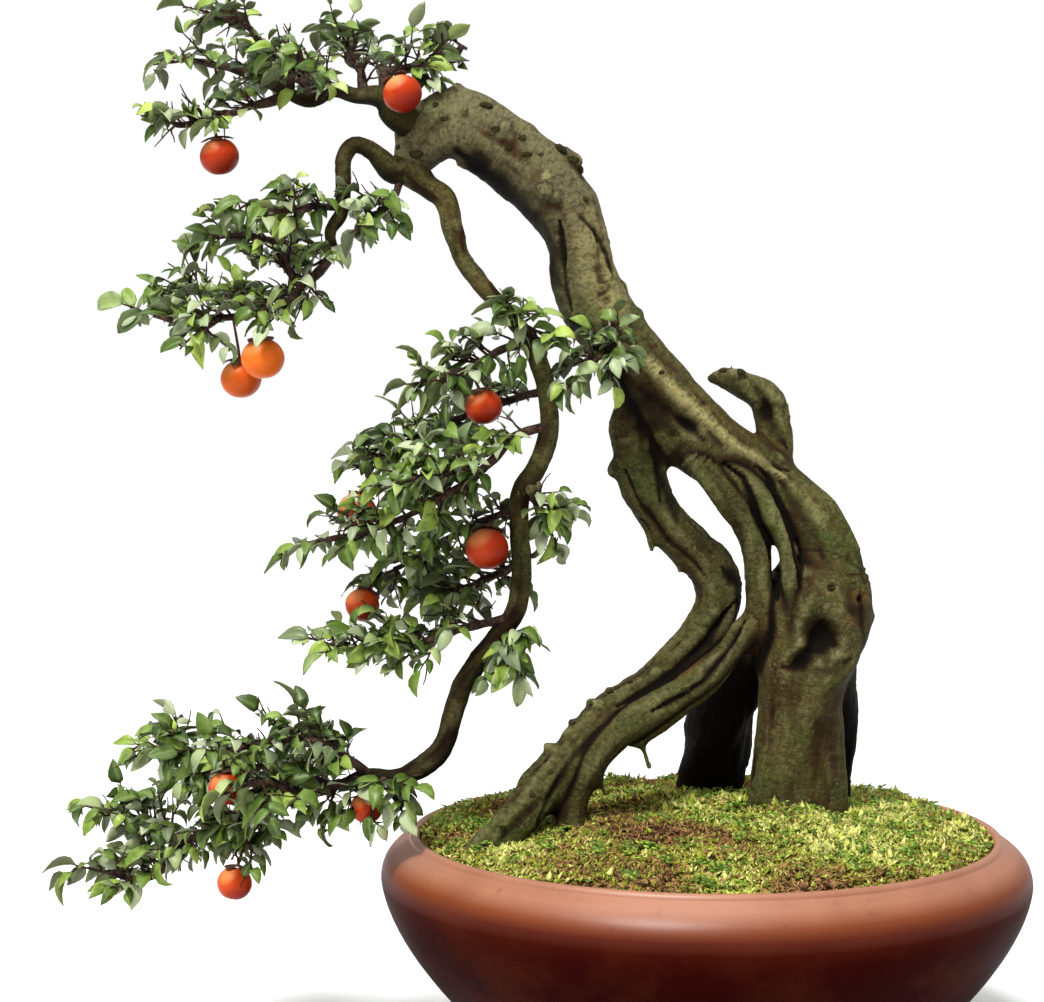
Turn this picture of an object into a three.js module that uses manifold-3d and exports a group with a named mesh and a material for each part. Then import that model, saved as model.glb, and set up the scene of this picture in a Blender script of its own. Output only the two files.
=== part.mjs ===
// A Diospyros armata bonsai in its round pot. An old hollowed trunk leans to the left over a bare root leg,
// droops at the top and lets one long branch fall beside the pot. It bears small pointed leaves and round
// fruits.
// Millimetres, +Z up, the front towards -Y, the origin at the centre of the pot's flat underside.

import * as THREE from "three";
import { mergeVertices } from "three/addons/utils/BufferGeometryUtils.js";
import Module from "manifold-3d";

const wasm = await Module();
wasm.setup();
const { Manifold, Mesh: SolidMesh } = wasm;

// Driving dimensions: the pot. A handle is how far a curve's control point lies from its end.
const POT_FOOT_RADIUS = 106;
const POT_FOOT_BEVEL = [6, 4];
const POT_WIDEST_RADIUS = 195;
const POT_WIDEST_HEIGHT = 112;
const POT_RIM_RADIUS = 178;
const POT_RIM_WIDTH = 5;
const POT_RIM_SLOPE = 2.5;
const POT_HEIGHT = 139;
const POT_WALL = 9;
const POT_FLOOR = 12;
const POT_SIDES = 30;
const POT_DIVISIONS = 4;
const CAVITY_DIVISIONS = 3;
const BELLY_FOOT_HANDLE = [28, 18];
const BELLY_WIDEST_HANDLE = [4, 38];
const SHOULDER_HANDLE = 14;
const RIM_HANDLE = [8, 5];
const DRAIN_HOLE_RADIUS = 9;
const DRAIN_CIRCLE_RADIUS = 50;
const DRAIN_COUNT = 3;
const SCREEN_RADIUS = 16;
const SCREEN_THICKNESS = 1.2;
const SCREEN_SLOT_WIDTH = 3;

// Driving dimensions: the soil, its mound and the two ripples on it
const SOIL_EDGE_HEIGHT = 132;
const SOIL_RISE = 19;
const SOIL_ROUNDNESS = 0.8;
const SOIL_SWELL = 2.2;
const SOIL_SWELL_LENGTH = 29;
const SOIL_RIPPLE = 1.3;
const SOIL_RIPPLE_LENGTH = 17;
const SOIL_RINGS = 4;
const SOIL_GAP = 0.5;
const TOUCH_GAP = 0.3;

// Driving dimensions: the tree's buried roots
const ROOT_COUNT = 3;
const ROOT_FIRST_ANGLE = 0.5;
const ROOT_REACH = 122;
const ROOT_END_HEIGHT = 62;
const ROOT_BEND_HEIGHT = 98;
const ROOT_RADII = [15, 4];
const BARK_LOBES = 0.06;

// Driving dimensions: the sprays of leaves. A pair is the lowest and highest of a drawn value.
const TIP_LENGTH = 20;
const TIP_OVERLAP = 4;
const SPRAY_SPACING = 57;
const SPRAY_FIRST_SHARE = 0.1;
const SPRAY_TURN = [45, 110];
const SPRAY_LEAN = [40, 62];
const SPRAY_STEM = [18, 27];
const SIDE_SPRAY_LEAVES = 3;
const TIP_SPRAY_LEAVES = 4;
const STEM_HALF_WIDTH = 1.1;
const TURN_STEP = 35;
const TURNS_TRIED = 6;
const LEAF_LENGTH = [19, 28];
const LEAF_WIDTH_SHARE = 0.43;
const LEAF_THICKNESS = 0.8;
const LEAF_BASE_HALF_WIDTH = 1.2;
const LEAF_FIRST_DROP = 7;
const LEAF_PITCH = 6.5;
const LEAF_SPREAD = 42;
const LEAF_SPREAD_STEP = 5;
const LEAF_SPREAD_PLAY = [-3, 3];
const SPRAY_DROOP = [0.18, 0.4];
const SIDE_DROOP_LENGTH = 24;
const TIP_DROOP_LENGTH = 32;
const LEAF_WAVE = 0.08;
const LEAF_WAVE_RATE = 0.3;
const FACE_SWAY = [-0.5, 0.5];
const FACE_TILT = [0.4, 1.6];
const FACE_FRONT_SHARE = 0.7;

// Driving dimensions: the fruits' calyxes and stalks
const FRUIT_FLATNESS = 0.95;
const CALYX_LOBE_LENGTH = 8.5;
const CALYX_NOTCH_RADIUS = 3;
const CALYX_CLEARANCE = 0.75;
const STALK_RADIUS = 1;
const STALK_RISE = 0.3;
const STALK_GAP = 0.4;
const STALK_SEARCH = 10;
const STALK_ROUNDS = 5;
const STALK_UPRIGHTNESS = 0.7;

// The tree is drawn as it looks from the front, on the plane y = 0, and every point is then moved back or
// forward along the line of sight to its own depth. A station is [x, z, depth, radius].
const EYE = new THREE.Vector3(-110, -1400, 416);
const UP = new THREE.Vector3(0, 0, 1);
const degrees = THREE.MathUtils.degToRad;

const colours = {
  pot: 0x7a3b26,
  soil: 0x5c4a26,
  bark: 0x6b6450,
  leaf: 0x3f6a34,
  fruit: 0xe2491c,
  calyx: 0x4a3422,
  screen: 0x2c2c2c,
};

function place([x, z, depth]) {
  const reach = 1 - depth / EYE.y;
  return new THREE.Vector3(EYE.x + (x - EYE.x) * reach, depth, EYE.z + (z - EYE.z) * reach);
}

// A repeatable draw between two limits, for one of a bough's numbered things and what is drawn for it
const DRAWN = { turn: 1, lean: 2, stem: 3, length: 4, spread: 5, droop: 6, facing: 7, tilt: 8, sway: 9 };

function draw([low, high], a, b, c) {
  const wave = Math.sin(a * 127.1 + b * 311.7 + c * 74.7) * 43758.5453;
  return low + (high - low) * (wave - Math.floor(wave));
}

// Solids: a closed three.js geometry in, a solid out, and back
function signedVolume(position, corners) {
  const [p, q, r] = [new THREE.Vector3(), new THREE.Vector3(), new THREE.Vector3()];
  let volume = 0;
  for (let i = 0; i < corners.length; i += 3) {
    p.fromArray(position, corners[i] * 3);
    q.fromArray(position, corners[i + 1] * 3);
    r.fromArray(position, corners[i + 2] * 3);
    volume += p.dot(q.cross(r)) / 6;
  }
  return volume;
}

function solidOf(geometry) {
  const bare = geometry.clone();
  bare.deleteAttribute("normal");
  bare.deleteAttribute("uv");
  const merged = mergeVertices(bare, 1e-3);
  const position = merged.getAttribute("position").array;
  const index = merged.getIndex().array;
  const corners = [];
  for (let i = 0; i < index.length; i += 3) {
    const [a, b, c] = [index[i], index[i + 1], index[i + 2]];
    if (a !== b && b !== c && c !== a) corners.push(a, b, c);
  }
  if (signedVolume(position, corners) < 0) corners.reverse();
  return new Manifold(
    new SolidMesh({ numProp: 3, vertProperties: position, triVerts: new Uint32Array(corners) }),
  );
}

function largestOf(solid) {
  const bodies = solid.decompose();
  return bodies.reduce((best, body) => (body.volume() > best.volume() ? body : best));
}

function geometryOf(solid) {
  const made = solid.getMesh();
  const geometry = new THREE.BufferGeometry();
  geometry.setAttribute("position", new THREE.BufferAttribute(new Float32Array(made.vertProperties), 3));
  geometry.setIndex(new THREE.BufferAttribute(new Uint32Array(made.triVerts), 1));
  geometry.computeVertexNormals();
  return geometry;
}

function meshOf(name, geometry, kind, roughness) {
  const material = new THREE.MeshStandardMaterial({
    color: colours[kind],
    roughness,
    metalness: 0,
    flatShading: true,
  });
  const mesh = new THREE.Mesh(geometry, material);
  mesh.name = name;
  return mesh;
}

// Frames along a curve, up to a share of it, that turn no more than the curve does
function framesAlong(curve, steps, until) {
  const frames = [];
  const nearlyAlong = 0.95;
  let side = new THREE.Vector3(0, 1, 0);
  for (let row = 0; row <= steps; row += 1) {
    const share = (row / steps) * until;
    const tangent = curve.getTangent(share);
    if (Math.abs(tangent.dot(side)) > nearlyAlong) side = new THREE.Vector3(1, 0, 0);
    side = side.clone().addScaledVector(tangent, -side.dot(tangent)).normalize();
    const lift = new THREE.Vector3().crossVectors(tangent, side);
    frames.push({ centre: curve.getPoint(share), tangent, side, lift });
  }
  return frames;
}

// A capped cylinder bent along a curve, with a radius for each share of its length. Its section has three
// low lobes that turn slowly along it, and grow is how far its faces stand out from that section.
function tube(curve, radiusAt, { sides, steps, grow = 0, lobes = 0, until = 1 }) {
  const geometry = new THREE.CylinderGeometry(1, 1, 1, sides, steps);
  const position = geometry.getAttribute("position");
  const frames = framesAlong(curve, steps, until);
  const skin = grow / Math.cos(Math.PI / sides);
  const lobeTurn = 0.45;
  frames[0].centre.addScaledVector(frames[0].tangent, -grow);
  frames[steps].centre.addScaledVector(frames[steps].tangent, grow);
  for (let i = 0; i < position.count; i += 1) {
    const row = Math.round((0.5 - position.getY(i)) * steps);
    const { centre, side, lift } = frames[row];
    const turn = Math.atan2(position.getZ(i), position.getX(i));
    const furrow = 1 + lobes * Math.cos(3 * turn + row * lobeTurn);
    const radius = radiusAt((row / steps) * until) * furrow + skin;
    const point = centre.clone();
    point.addScaledVector(side, position.getX(i) * radius);
    point.addScaledVector(lift, position.getZ(i) * radius);
    position.setXYZ(i, point.x, point.y, point.z);
  }
  return solidOf(geometry);
}

function curveThrough(stations) {
  return new THREE.CatmullRomCurve3(stations.map(place), false, "catmullrom", 0.5);
}

function radiusAlong(stations, share) {
  const spans = stations.length - 1;
  const span = Math.min(Math.floor(share * spans), spans - 1);
  const [from, to] = [stations[span], stations[span + 1]];
  const radius = THREE.MathUtils.lerp(from[3], to[3], share * spans - span);
  const depth = THREE.MathUtils.lerp(from[2], to[2], share * spans - span);
  return radius * (1 - depth / EYE.y);
}

function limb(stations, sides, options = {}) {
  const radiusAt = (share) => radiusAlong(stations, share);
  return tube(curveThrough(stations), radiusAt, { sides, steps: stations.length - 1, ...options });
}

// Pot: a bellied bowl whose shoulder turns in to a low rolled rim, on a flat foot with drain holes
function latheOf(outline) {
  return new THREE.LatheGeometry(outline, POT_SIDES).rotateX(Math.PI / 2);
}

// One half of a bowl's section, from its axis over the foot and the belly to the rim
function bowlOutline({ foot, floor, widest, rim, rimHeight }, divisions) {
  const path = new THREE.Path();
  path.moveTo(0, floor);
  path.lineTo(foot, floor);
  path.bezierCurveTo(
    foot + BELLY_FOOT_HANDLE[0], floor + BELLY_FOOT_HANDLE[1],
    widest - BELLY_WIDEST_HANDLE[0], POT_WIDEST_HEIGHT - BELLY_WIDEST_HANDLE[1],
    widest, POT_WIDEST_HEIGHT,
  );
  path.bezierCurveTo(
    widest, POT_WIDEST_HEIGHT + SHOULDER_HANDLE,
    rim + RIM_HANDLE[0], rimHeight - RIM_HANDLE[1],
    rim, rimHeight,
  );
  return path.getPoints(divisions);
}

function cavityOutline(inset, floor) {
  return bowlOutline(
    {
      foot: POT_FOOT_RADIUS - 2 * inset,
      floor,
      widest: POT_WIDEST_RADIUS - POT_WALL - inset,
      rim: POT_RIM_RADIUS - POT_RIM_WIDTH - inset,
      rimHeight: POT_HEIGHT - POT_RIM_SLOPE,
    },
    CAVITY_DIVISIONS,
  );
}

function drainCentres() {
  return Array.from({ length: DRAIN_COUNT }, (_, i) => {
    const angle = Math.PI / 2 + (i * 2 * Math.PI) / DRAIN_COUNT;
    return [Math.cos(angle) * DRAIN_CIRCLE_RADIUS, Math.sin(angle) * DRAIN_CIRCLE_RADIUS];
  });
}

function potSolid() {
  const outside = bowlOutline(
    {
      foot: POT_FOOT_RADIUS + POT_FOOT_BEVEL[0],
      floor: POT_FOOT_BEVEL[1],
      widest: POT_WIDEST_RADIUS,
      rim: POT_RIM_RADIUS,
      rimHeight: POT_HEIGHT,
    },
    POT_DIVISIONS,
  );
  const foot = [new THREE.Vector2(0, 0), new THREE.Vector2(POT_FOOT_RADIUS, 0)];
  const outline = [...foot, ...outside.slice(1), ...cavityOutline(0, POT_FLOOR).reverse()];
  const drains = drainCentres().map(([x, y]) => {
    const drain = new THREE.CylinderGeometry(DRAIN_HOLE_RADIUS, DRAIN_HOLE_RADIUS, POT_FLOOR * 3, 12);
    return solidOf(drain.rotateX(Math.PI / 2).translate(x, y, 0));
  });
  return solidOf(latheOf(outline)).subtract(Manifold.union(drains));
}

// Soil: fills the pot up to a low uneven mound, with plain holes where the roots stand
function moundHeight(x, y) {
  const share = Math.min(Math.hypot(x, y) / POT_RIM_RADIUS, 1);
  const swell = SOIL_SWELL * Math.sin(x / SOIL_SWELL_LENGTH) * Math.cos(y / SOIL_SWELL_LENGTH);
  const ripple = SOIL_RIPPLE * Math.sin((x + y) / SOIL_RIPPLE_LENGTH);
  const mound = SOIL_RISE * (1 - share ** 2) ** SOIL_ROUNDNESS;
  return SOIL_EDGE_HEIGHT + mound + (swell + ripple) * (1 - share ** 4);
}

function soilSolid(rootHoles) {
  const cavity = cavityOutline(SOIL_GAP, POT_FLOOR + SCREEN_THICKNESS + 2 * TOUCH_GAP);
  const above = cavity.findIndex((point) => point.y > SOIL_EDGE_HEIGHT);
  const [low, high] = [cavity[above - 1], cavity[above]];
  const edge = low.clone().lerp(high, (SOIL_EDGE_HEIGHT - low.y) / (high.y - low.y));
  const top = [];
  for (let ring = SOIL_RINGS - 1; ring >= 0; ring -= 1) {
    top.push(new THREE.Vector2((edge.x * ring) / SOIL_RINGS, SOIL_EDGE_HEIGHT + 1));
  }
  const geometry = latheOf([...cavity.slice(0, above), edge, ...top]);
  const position = geometry.getAttribute("position");
  for (let i = 0; i < position.count; i += 1) {
    if (position.getZ(i) > SOIL_EDGE_HEIGHT + 0.5) {
      position.setZ(i, moundHeight(position.getX(i), position.getY(i)));
    }
  }
  return largestOf(solidOf(geometry).subtract(rootHoles));
}

// Drain screens: slotted discs that lie on the pot's floor over the holes
function screenSolid(x, y) {
  const height = POT_FLOOR + TOUCH_GAP + SCREEN_THICKNESS / 2;
  const disc = new THREE.CylinderGeometry(SCREEN_RADIUS, SCREEN_RADIUS, SCREEN_THICKNESS, 14);
  const slots = [-1, 1].map((i) => {
    const slot = new THREE.BoxGeometry(SCREEN_RADIUS, SCREEN_SLOT_WIDTH, SCREEN_THICKNESS * 3);
    return solidOf(slot.translate(x, y + i * SCREEN_SLOT_WIDTH, height));
  });
  return solidOf(disc.rotateX(Math.PI / 2).translate(x, y, height)).subtract(Manifold.union(slots));
}

// The tree's wood, from the roots up
const heavyWood = {
  root_column: [
    [57, 100, -2, 26], [57, 128, -2, 30], [55, 158, -2, 28], [57, 194, 0, 26], [59, 224, 0, 27],
    [62, 248, 0, 32], [64, 271, 0, 33], [70, 292, 0, 25], [74, 306, 0, 16],
  ],
  trunk: [
    [78, 280, 0, 20], [75, 300, 0, 20], [67, 320, 0, 17.5], [53, 337, 0, 16], [35, 352, 0, 17],
    [14, 364, 0, 20], [-4, 377, 0, 22], [-20, 395, 0, 22], [-36, 413, 0, 21], [-52, 433, 0, 20],
    [-66, 453, 0, 21], [-74, 471, 0, 20.5], [-77, 491, 0, 20], [-84, 511, 0, 21], [-98, 529, 0, 21],
    [-114, 543, 0, 20], [-131, 554, 0, 20], [-148, 561, 0, 21.5], [-162, 556, 0, 18], [-171, 546, 0, 14],
    [-178, 534, 0, 9],
  ],
  twin_trunk_and_leg: [
    [-42, 412, -2, 13], [-42, 386, 2, 14.5], [-38, 356, 4, 15.5], [-29, 332, 6, 13.5], [-10, 311, 10, 14],
    [4, 294, 12, 13.5], [7, 277, 10, 14], [-2, 256, 4, 13.5], [-27, 231, -8, 12], [-54, 211, -22, 12],
    [-76, 188, -36, 13], [-94, 167, -46, 14.5], [-112, 146, -56, 13], [-129, 125, -64, 13],
    [-144, 107, -68, 9],
  ],
  right_bulge: [[80, 298, -2, 15], [86, 275, -2, 16], [82, 251, -2, 15], [70, 226, -1, 8]],
  back_root: [
    [24, 254, 20, 18], [14, 224, 40, 21], [9, 200, 52, 21], [5, 176, 58, 18], [3, 150, 62, 17],
    [2, 120, 64, 14],
  ],
};

const lightWood = {
  front_strand: [
    [-8, 372, -6, 13], [10, 347, -12, 10], [23, 328, -12, 9], [30, 310, -12, 9.5], [34, 289, -12, 10.5],
    [37, 262, -9, 12], [40, 240, -4, 9],
  ],
  inner_strand: [
    [8, 362, -10, 9], [24, 350, -16, 7.5], [39, 330, -17, 7], [49, 310, -17, 6.5], [52, 288, -16, 6.5],
    [54, 266, -14, 8], [55, 248, -10, 8],
  ],
  leg_lower_strand: [
    [46, 262, -8, 8], [28, 264, -13, 8], [14, 245, -14, 8.5], [-6, 228, -18, 9], [-30, 213, -26, 10],
    [-52, 197, -34, 11], [-68, 179, -42, 11], [-78, 158, -46, 9], [-83, 134, -50, 9], [-87, 116, -52, 7],
  ],
  leg_thin_strand: [
    [30, 250, -6, 5.5], [21, 250, -9, 5.5], [10, 233, -11, 5.5], [-6, 218, -15, 6], [-27, 204, -23, 6],
    [-44, 191, -31, 5],
  ],
  right_back_root: [
    [78, 248, 15, 14], [83, 218, 30, 10], [84, 191, 40, 7], [83, 161, 46, 6], [82, 130, 48, 6],
  ],
  hooked_stub: [
    [45, 340, 4, 13], [40, 358, 8, 13], [41, 376, 12, 11], [40, 389, 14, 11], [35, 401, 14, 11],
    [22, 408, 12, 9.5], [9, 412, 10, 6.5], [1, 410, 8, 3],
  ],
  long_branch: [
    [-175, 535, 0, 8], [-166, 526, -3, 6.5], [-156, 518, -6, 6], [-151, 500, -10, 5.6],
    [-146, 483, -14, 5.4], [-135, 468, -18, 5.4], [-121, 453, -24, 5.4], [-106, 434, -30, 5.4],
    [-96, 407, -34, 5.6], [-94, 380, -36, 5.8], [-100, 359, -36, 6], [-110, 344, -34, 6],
    [-112, 320, -32, 6], [-110, 296, -30, 6], [-114, 271, -30, 6], [-129, 251, -32, 6.3],
    [-144, 230, -34, 6.3], [-152, 207, -36, 6.3], [-159, 187, -38, 6.5], [-174, 175, -40, 5.5],
    [-186, 171, -42, 4.5],
  ],
  s_branch: [
    [-176, 537, 0, 8.5], [-187, 535, -4, 7], [-198, 545, -8, 5.6], [-209, 550, -10, 5],
    [-216, 541, -12, 4.8], [-217, 524, -14, 4.5], [-218, 509, -15, 4],
  ],
  crown_limb: [
    [-168, 554, 0, 9], [-183, 567, -3, 8.5], [-193, 578, -5, 7], [-209, 579, -6, 4.8], [-222, 582, -6, 4.2],
    [-236, 576, -6, 4], [-248, 580, -6, 3.8],
  ],
};

// Dead spikes, knobs and hanging rootlets, each a short taper from inside the wood to its tip
const deadwood = {
  rootlet_left: [[-64, 179, -42, 3], [-59, 158, -42, 2]],
  rootlet_right: [[-39, 196, -30, 2.4], [-33, 176, -32, 1.4]],
  spike_upper: [[-36, 324, 4, 5], [-32, 306, 2, 1.2]],
  spike_lower: [[-14, 308, 8, 5], [-16, 293, 6, 1.4]],
  twin_trunk_nub: [[-44, 360, 4, 8], [-56, 359, 2, 5]],
  branch_knob: [[-110, 344, -34, 5], [-99, 346, -38, 3.5]],
  stub_bud: [[20, 410, 12, 3], [15, 421, 12, 1.6]],
  trunk_knob_top: [[-136, 558, 0, 8], [-130, 576, -4, 4]],
  trunk_knob_second: [[-110, 544, 0, 8], [-104, 563, -4, 4]],
  trunk_knob_large: [[-92, 528, 0, 10], [-78, 543, -2, 6.5]],
  trunk_knob_front: [[-100, 524, -6, 8], [-96, 522, -25, 4]],
  trunk_knob_right: [[-62, 456, 0, 9], [-47, 462, -2, 5]],
};

const ROOT_HUB = new THREE.Vector3(50, 0, 118);

// A root in the soil, from under the root column out and down towards the pot's wall
function buriedRoot(index, grow) {
  const angle = ROOT_FIRST_ANGLE + (index * 2 * Math.PI) / ROOT_COUNT;
  const end = new THREE.Vector3(Math.cos(angle) * ROOT_REACH, Math.sin(angle) * ROOT_REACH, ROOT_END_HEIGHT);
  const bend = new THREE.Vector3().lerpVectors(ROOT_HUB, end, 0.5).setZ(ROOT_BEND_HEIGHT);
  const curve = new THREE.QuadraticBezierCurve3(ROOT_HUB, bend, end);
  const radiusAt = (share) => THREE.MathUtils.lerp(ROOT_RADII[0], ROOT_RADII[1], share);
  return tube(curve, radiusAt, { sides: 6, steps: 3, grow });
}

function treeSolid(grow) {
  const parts = [];
  const stout = { grow, lobes: BARK_LOBES };
  for (const stations of Object.values(heavyWood)) parts.push(limb(stations, 8, stout));
  for (const stations of Object.values(lightWood)) parts.push(limb(stations, 6, { grow }));
  for (const stations of Object.values(deadwood)) parts.push(limb(stations, 5, { grow }));
  for (let i = 0; i < ROOT_COUNT; i += 1) parts.push(buriedRoot(i, grow));
  return largestOf(Manifold.union(parts));
}

// Leafy boughs. Each starts at the centre line of what it grows from.
const boughs = {
  crown_1: [
    [-248, 580, -6, 3.6], [-248, 595, -14, 3.2], [-262, 608, -22, 2.8], [-275, 621, -28, 2.4],
    [-294, 627, -34, 2], [-308, 631, -38, 1.6],
  ],
  crown_2: [
    [-248, 580, -6, 3.6], [-264, 588, 4, 3], [-285, 596, 20, 2.6], [-309, 600, 34, 2], [-324, 598, 42, 1.6],
  ],
  crown_3: [
    [-252, 578, -6, 3.4], [-269, 573, -14, 2.8], [-291, 566, -22, 2.6], [-315, 562, -24, 2.2],
    [-336, 567, -26, 1.6],
  ],
  crown_4: [
    [-190, 581, -6, 5], [-191, 592, -4, 4], [-180, 595, 0, 3.2], [-165, 598, 6, 2.8], [-150, 602, 10, 2.6],
    [-146, 613, 14, 2.2], [-160, 618, 18, 1.6],
  ],
  crown_5: [[-204, 579, -6, 3.4], [-206, 593, 8, 2.8], [-214, 608, 24, 2.2], [-228, 621, 38, 1.6]],
  crown_6: [[-222, 582, -6, 3.2], [-231, 590, -24, 2.6], [-243, 601, -42, 2], [-256, 605, -56, 1.6]],
  crown_7: [[-236, 576, -6, 3.2], [-240, 587, 20, 2.6], [-252, 596, 48, 2], [-266, 597, 70, 1.6]],
  shoulder_1: [
    [-218, 511, -15, 3.8], [-224, 499, -18, 3.4], [-223, 487, -22, 3.2], [-231, 476, -26, 3.2],
    [-241, 466, -28, 3], [-250, 456, -30, 3], [-266, 451, -30, 2.8], [-288, 448, -30, 2.6],
    [-314, 446, -28, 2.2], [-333, 450, -26, 1.8], [-350, 456, -24, 1.5],
  ],
  shoulder_2: [
    [-241, 466, -28, 2.8], [-251, 478, -14, 2.6], [-257, 492, 0, 2.4], [-272, 495, 10, 2.2],
    [-286, 496, 18, 2], [-304, 494, 24, 1.6],
  ],
  shoulder_3: [[-218, 513, -15, 2.8], [-237, 513, -34, 2.2], [-256, 511, -50, 1.8], [-272, 515, -58, 1.5]],
  shoulder_4: [[-182, 529, -2, 3.2], [-190, 515, -18, 2.4], [-200, 505, -30, 2], [-210, 499, -40, 1.5]],
  shoulder_5: [[-266, 451, -30, 2.4], [-282, 458, -6, 2], [-303, 463, 16, 1.8], [-324, 463, 32, 1.5]],
  shoulder_6: [[-288, 448, -30, 2], [-303, 440, -46, 1.8], [-312, 431, -54, 1.5]],
  middle_1: [
    [-106, 434, -30, 3], [-123, 427, -40, 2.6], [-141, 418, -46, 2.3], [-160, 411, -50, 2],
    [-178, 408, -52, 1.6],
  ],
  middle_2: [[-114, 445, -27, 2.6], [-106, 442, -40, 2], [-94, 436, -50, 1.6]],
  middle_3: [
    [-95, 404, -34, 3], [-117, 398, -20, 2.6], [-144, 389, -10, 2.4], [-168, 379, -6, 2.2],
    [-189, 368, -6, 2], [-210, 357, -8, 1.6],
  ],
  middle_4: [
    [-94, 383, -36, 3.4], [-114, 376, -48, 3], [-133, 356, -56, 2.8], [-159, 339, -58, 2.6],
    [-190, 323, -56, 2.4], [-219, 316, -52, 2], [-246, 311, -48, 1.6],
  ],
  middle_5: [
    [-111, 335, -33, 3], [-128, 328, -22, 2.6], [-146, 320, -14, 2.4], [-165, 308, -10, 2],
    [-186, 297, -10, 1.8], [-203, 291, -12, 1.5],
  ],
  middle_6: [
    [-116, 267, -30, 3], [-140, 262, -40, 2.6], [-165, 254, -46, 2.3], [-189, 247, -48, 2],
    [-216, 249, -48, 1.8], [-234, 254, -46, 1.5],
  ],
  middle_7: [[-109, 343, -34, 3], [-99, 334, -32, 2.4], [-95, 321, -28, 1.8], [-89, 313, -26, 1.5]],
  middle_8: [[-110, 302, -31, 2.8], [-126, 293, -8, 2.4], [-147, 284, 14, 2], [-168, 278, 32, 1.6]],
  middle_9: [[-46, 428, -4, 2.8], [-58, 426, -30, 2.2], [-70, 418, -42, 1.8], [-80, 408, -50, 1.5]],
  middle_10: [[-122, 260, -31, 2.4], [-114, 248, -42, 2], [-113, 234, -48, 1.5]],
  middle_11: [[-133, 356, -56, 2.4], [-150, 358, -72, 2], [-172, 352, -84, 1.7], [-196, 344, -90, 1.5]],
  lowest_1: [
    [-186, 171, -42, 4.2], [-204, 172, -42, 3.6], [-222, 165, -42, 3.2], [-243, 158, -40, 3],
    [-264, 149, -38, 2.8], [-285, 141, -36, 2.6], [-309, 134, -36, 2.4], [-324, 117, -38, 2.4],
    [-342, 108, -40, 2.2], [-360, 113, -40, 2], [-380, 117, -40, 1.5],
  ],
  lowest_2: [
    [-202, 172, -42, 3], [-222, 187, -52, 2.6], [-246, 194, -58, 2.4], [-273, 190, -60, 2.2],
    [-300, 185, -58, 2], [-321, 187, -56, 1.8], [-338, 190, -54, 1.5],
  ],
  lowest_3: [
    [-222, 165, -42, 2.8], [-243, 173, -14, 2.4], [-268, 177, 8, 2.1], [-294, 175, 26, 1.8],
    [-315, 170, 38, 1.5],
  ],
  lowest_4: [[-264, 149, -38, 2.4], [-276, 134, -50, 2], [-284, 123, -56, 1.6]],
  lowest_5: [[-309, 134, -36, 2.2], [-333, 142, -24, 2], [-354, 149, -14, 1.7], [-369, 152, -8, 1.5]],
  lowest_6: [[-243, 158, -40, 2.6], [-252, 164, -66, 2.2], [-270, 167, -84, 1.8], [-288, 161, -94, 1.5]],
  lowest_7: [[-192, 172, -42, 2.4], [-199, 161, -56, 2], [-201, 148, -62, 1.5]],
};

// Fruits, each [x, z, depth, radius]
const fruits = [
  [-290, 543, -22, 11.4],
  [-181, 580, -25, 11.4],
  [-265, 423, -34, 12.6],
  [-278, 411, -16, 12],
  [-133, 394, -48, 10.8],
  [-209, 331, -20, 12],
  [-131, 309, -40, 12.6],
  [-206, 275, -28, 10.2],
  [-289, 164, -70, 10.2],
  [-204, 152, -50, 9.6],
  [-284, 106, -58, 10.2],
];

function basisAt(origin, along, face) {
  const across = new THREE.Vector3().crossVectors(along, face);
  return new THREE.Matrix4().makeBasis(across, along, face).setPosition(origin);
}

function perpendicular(vector, along) {
  return vector.clone().addScaledVector(along, -vector.dot(along)).normalize();
}

// A direction straight out from a line, turned by an angle round it, where 0 is as nearly up as it can be
function outward(along, angle) {
  const nearlyUpright = 0.97;
  const steep = Math.abs(along.z) > nearlyUpright;
  const lift = perpendicular(steep ? new THREE.Vector3(0, -1, 0) : UP, along);
  const side = new THREE.Vector3().crossVectors(along, lift);
  return lift.multiplyScalar(Math.cos(angle)).addScaledVector(side, Math.sin(angle));
}

function lengthOf(stations) {
  const points = stations.map(place);
  return points.slice(1).reduce((sum, point, i) => sum + point.distanceTo(points[i]), 0);
}

// A bough's own wood stops where the spray at its tip takes over
function woodShare(stations) {
  return 1 - TIP_LENGTH / lengthOf(stations);
}

function boughWood(stations, grow) {
  return limb(stations, 4, { grow, until: woodShare(stations) });
}

// The sprays of a bough, on alternate sides and leaning towards its tip, and one that carries its tip on.
// A spray that would come too near another node is turned round the bough, one step at a time.
function spraysOf(stations, boughIndex, turnStep) {
  const curve = curveThrough(stations);
  const slots = 2 * Math.max(1, Math.round(lengthOf(stations) / SPRAY_SPACING));
  const sprays = [];
  for (let slot = 1; slot < slots; slot += 2) {
    const share = THREE.MathUtils.lerp(SPRAY_FIRST_SHARE, woodShare(stations), slot / slots);
    const along = curve.getTangent(share);
    const side = slot % 4 === 1 ? 1 : -1;
    const turn = side * (draw(SPRAY_TURN, boughIndex, slot, DRAWN.turn) + turnStep * TURN_STEP);
    const lean = degrees(draw(SPRAY_LEAN, boughIndex, slot, DRAWN.lean));
    const heading = along.clone().multiplyScalar(Math.cos(lean));
    heading.addScaledVector(outward(along, degrees(turn)), Math.sin(lean)).normalize();
    const stem = draw(SPRAY_STEM, boughIndex, slot, DRAWN.stem);
    sprays.push({ slot, base: curve.getPoint(share), heading, stem, leaves: SIDE_SPRAY_LEAVES });
  }
  const end = curve.getPoint(woodShare(stations));
  const heading = curve.getPoint(1).sub(end).normalize();
  const base = end.addScaledVector(heading, -TIP_OVERLAP);
  sprays.push({ slot: 0, base, heading, stem: TIP_LENGTH + TIP_OVERLAP, leaves: TIP_SPRAY_LEAVES });
  return sprays;
}

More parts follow.
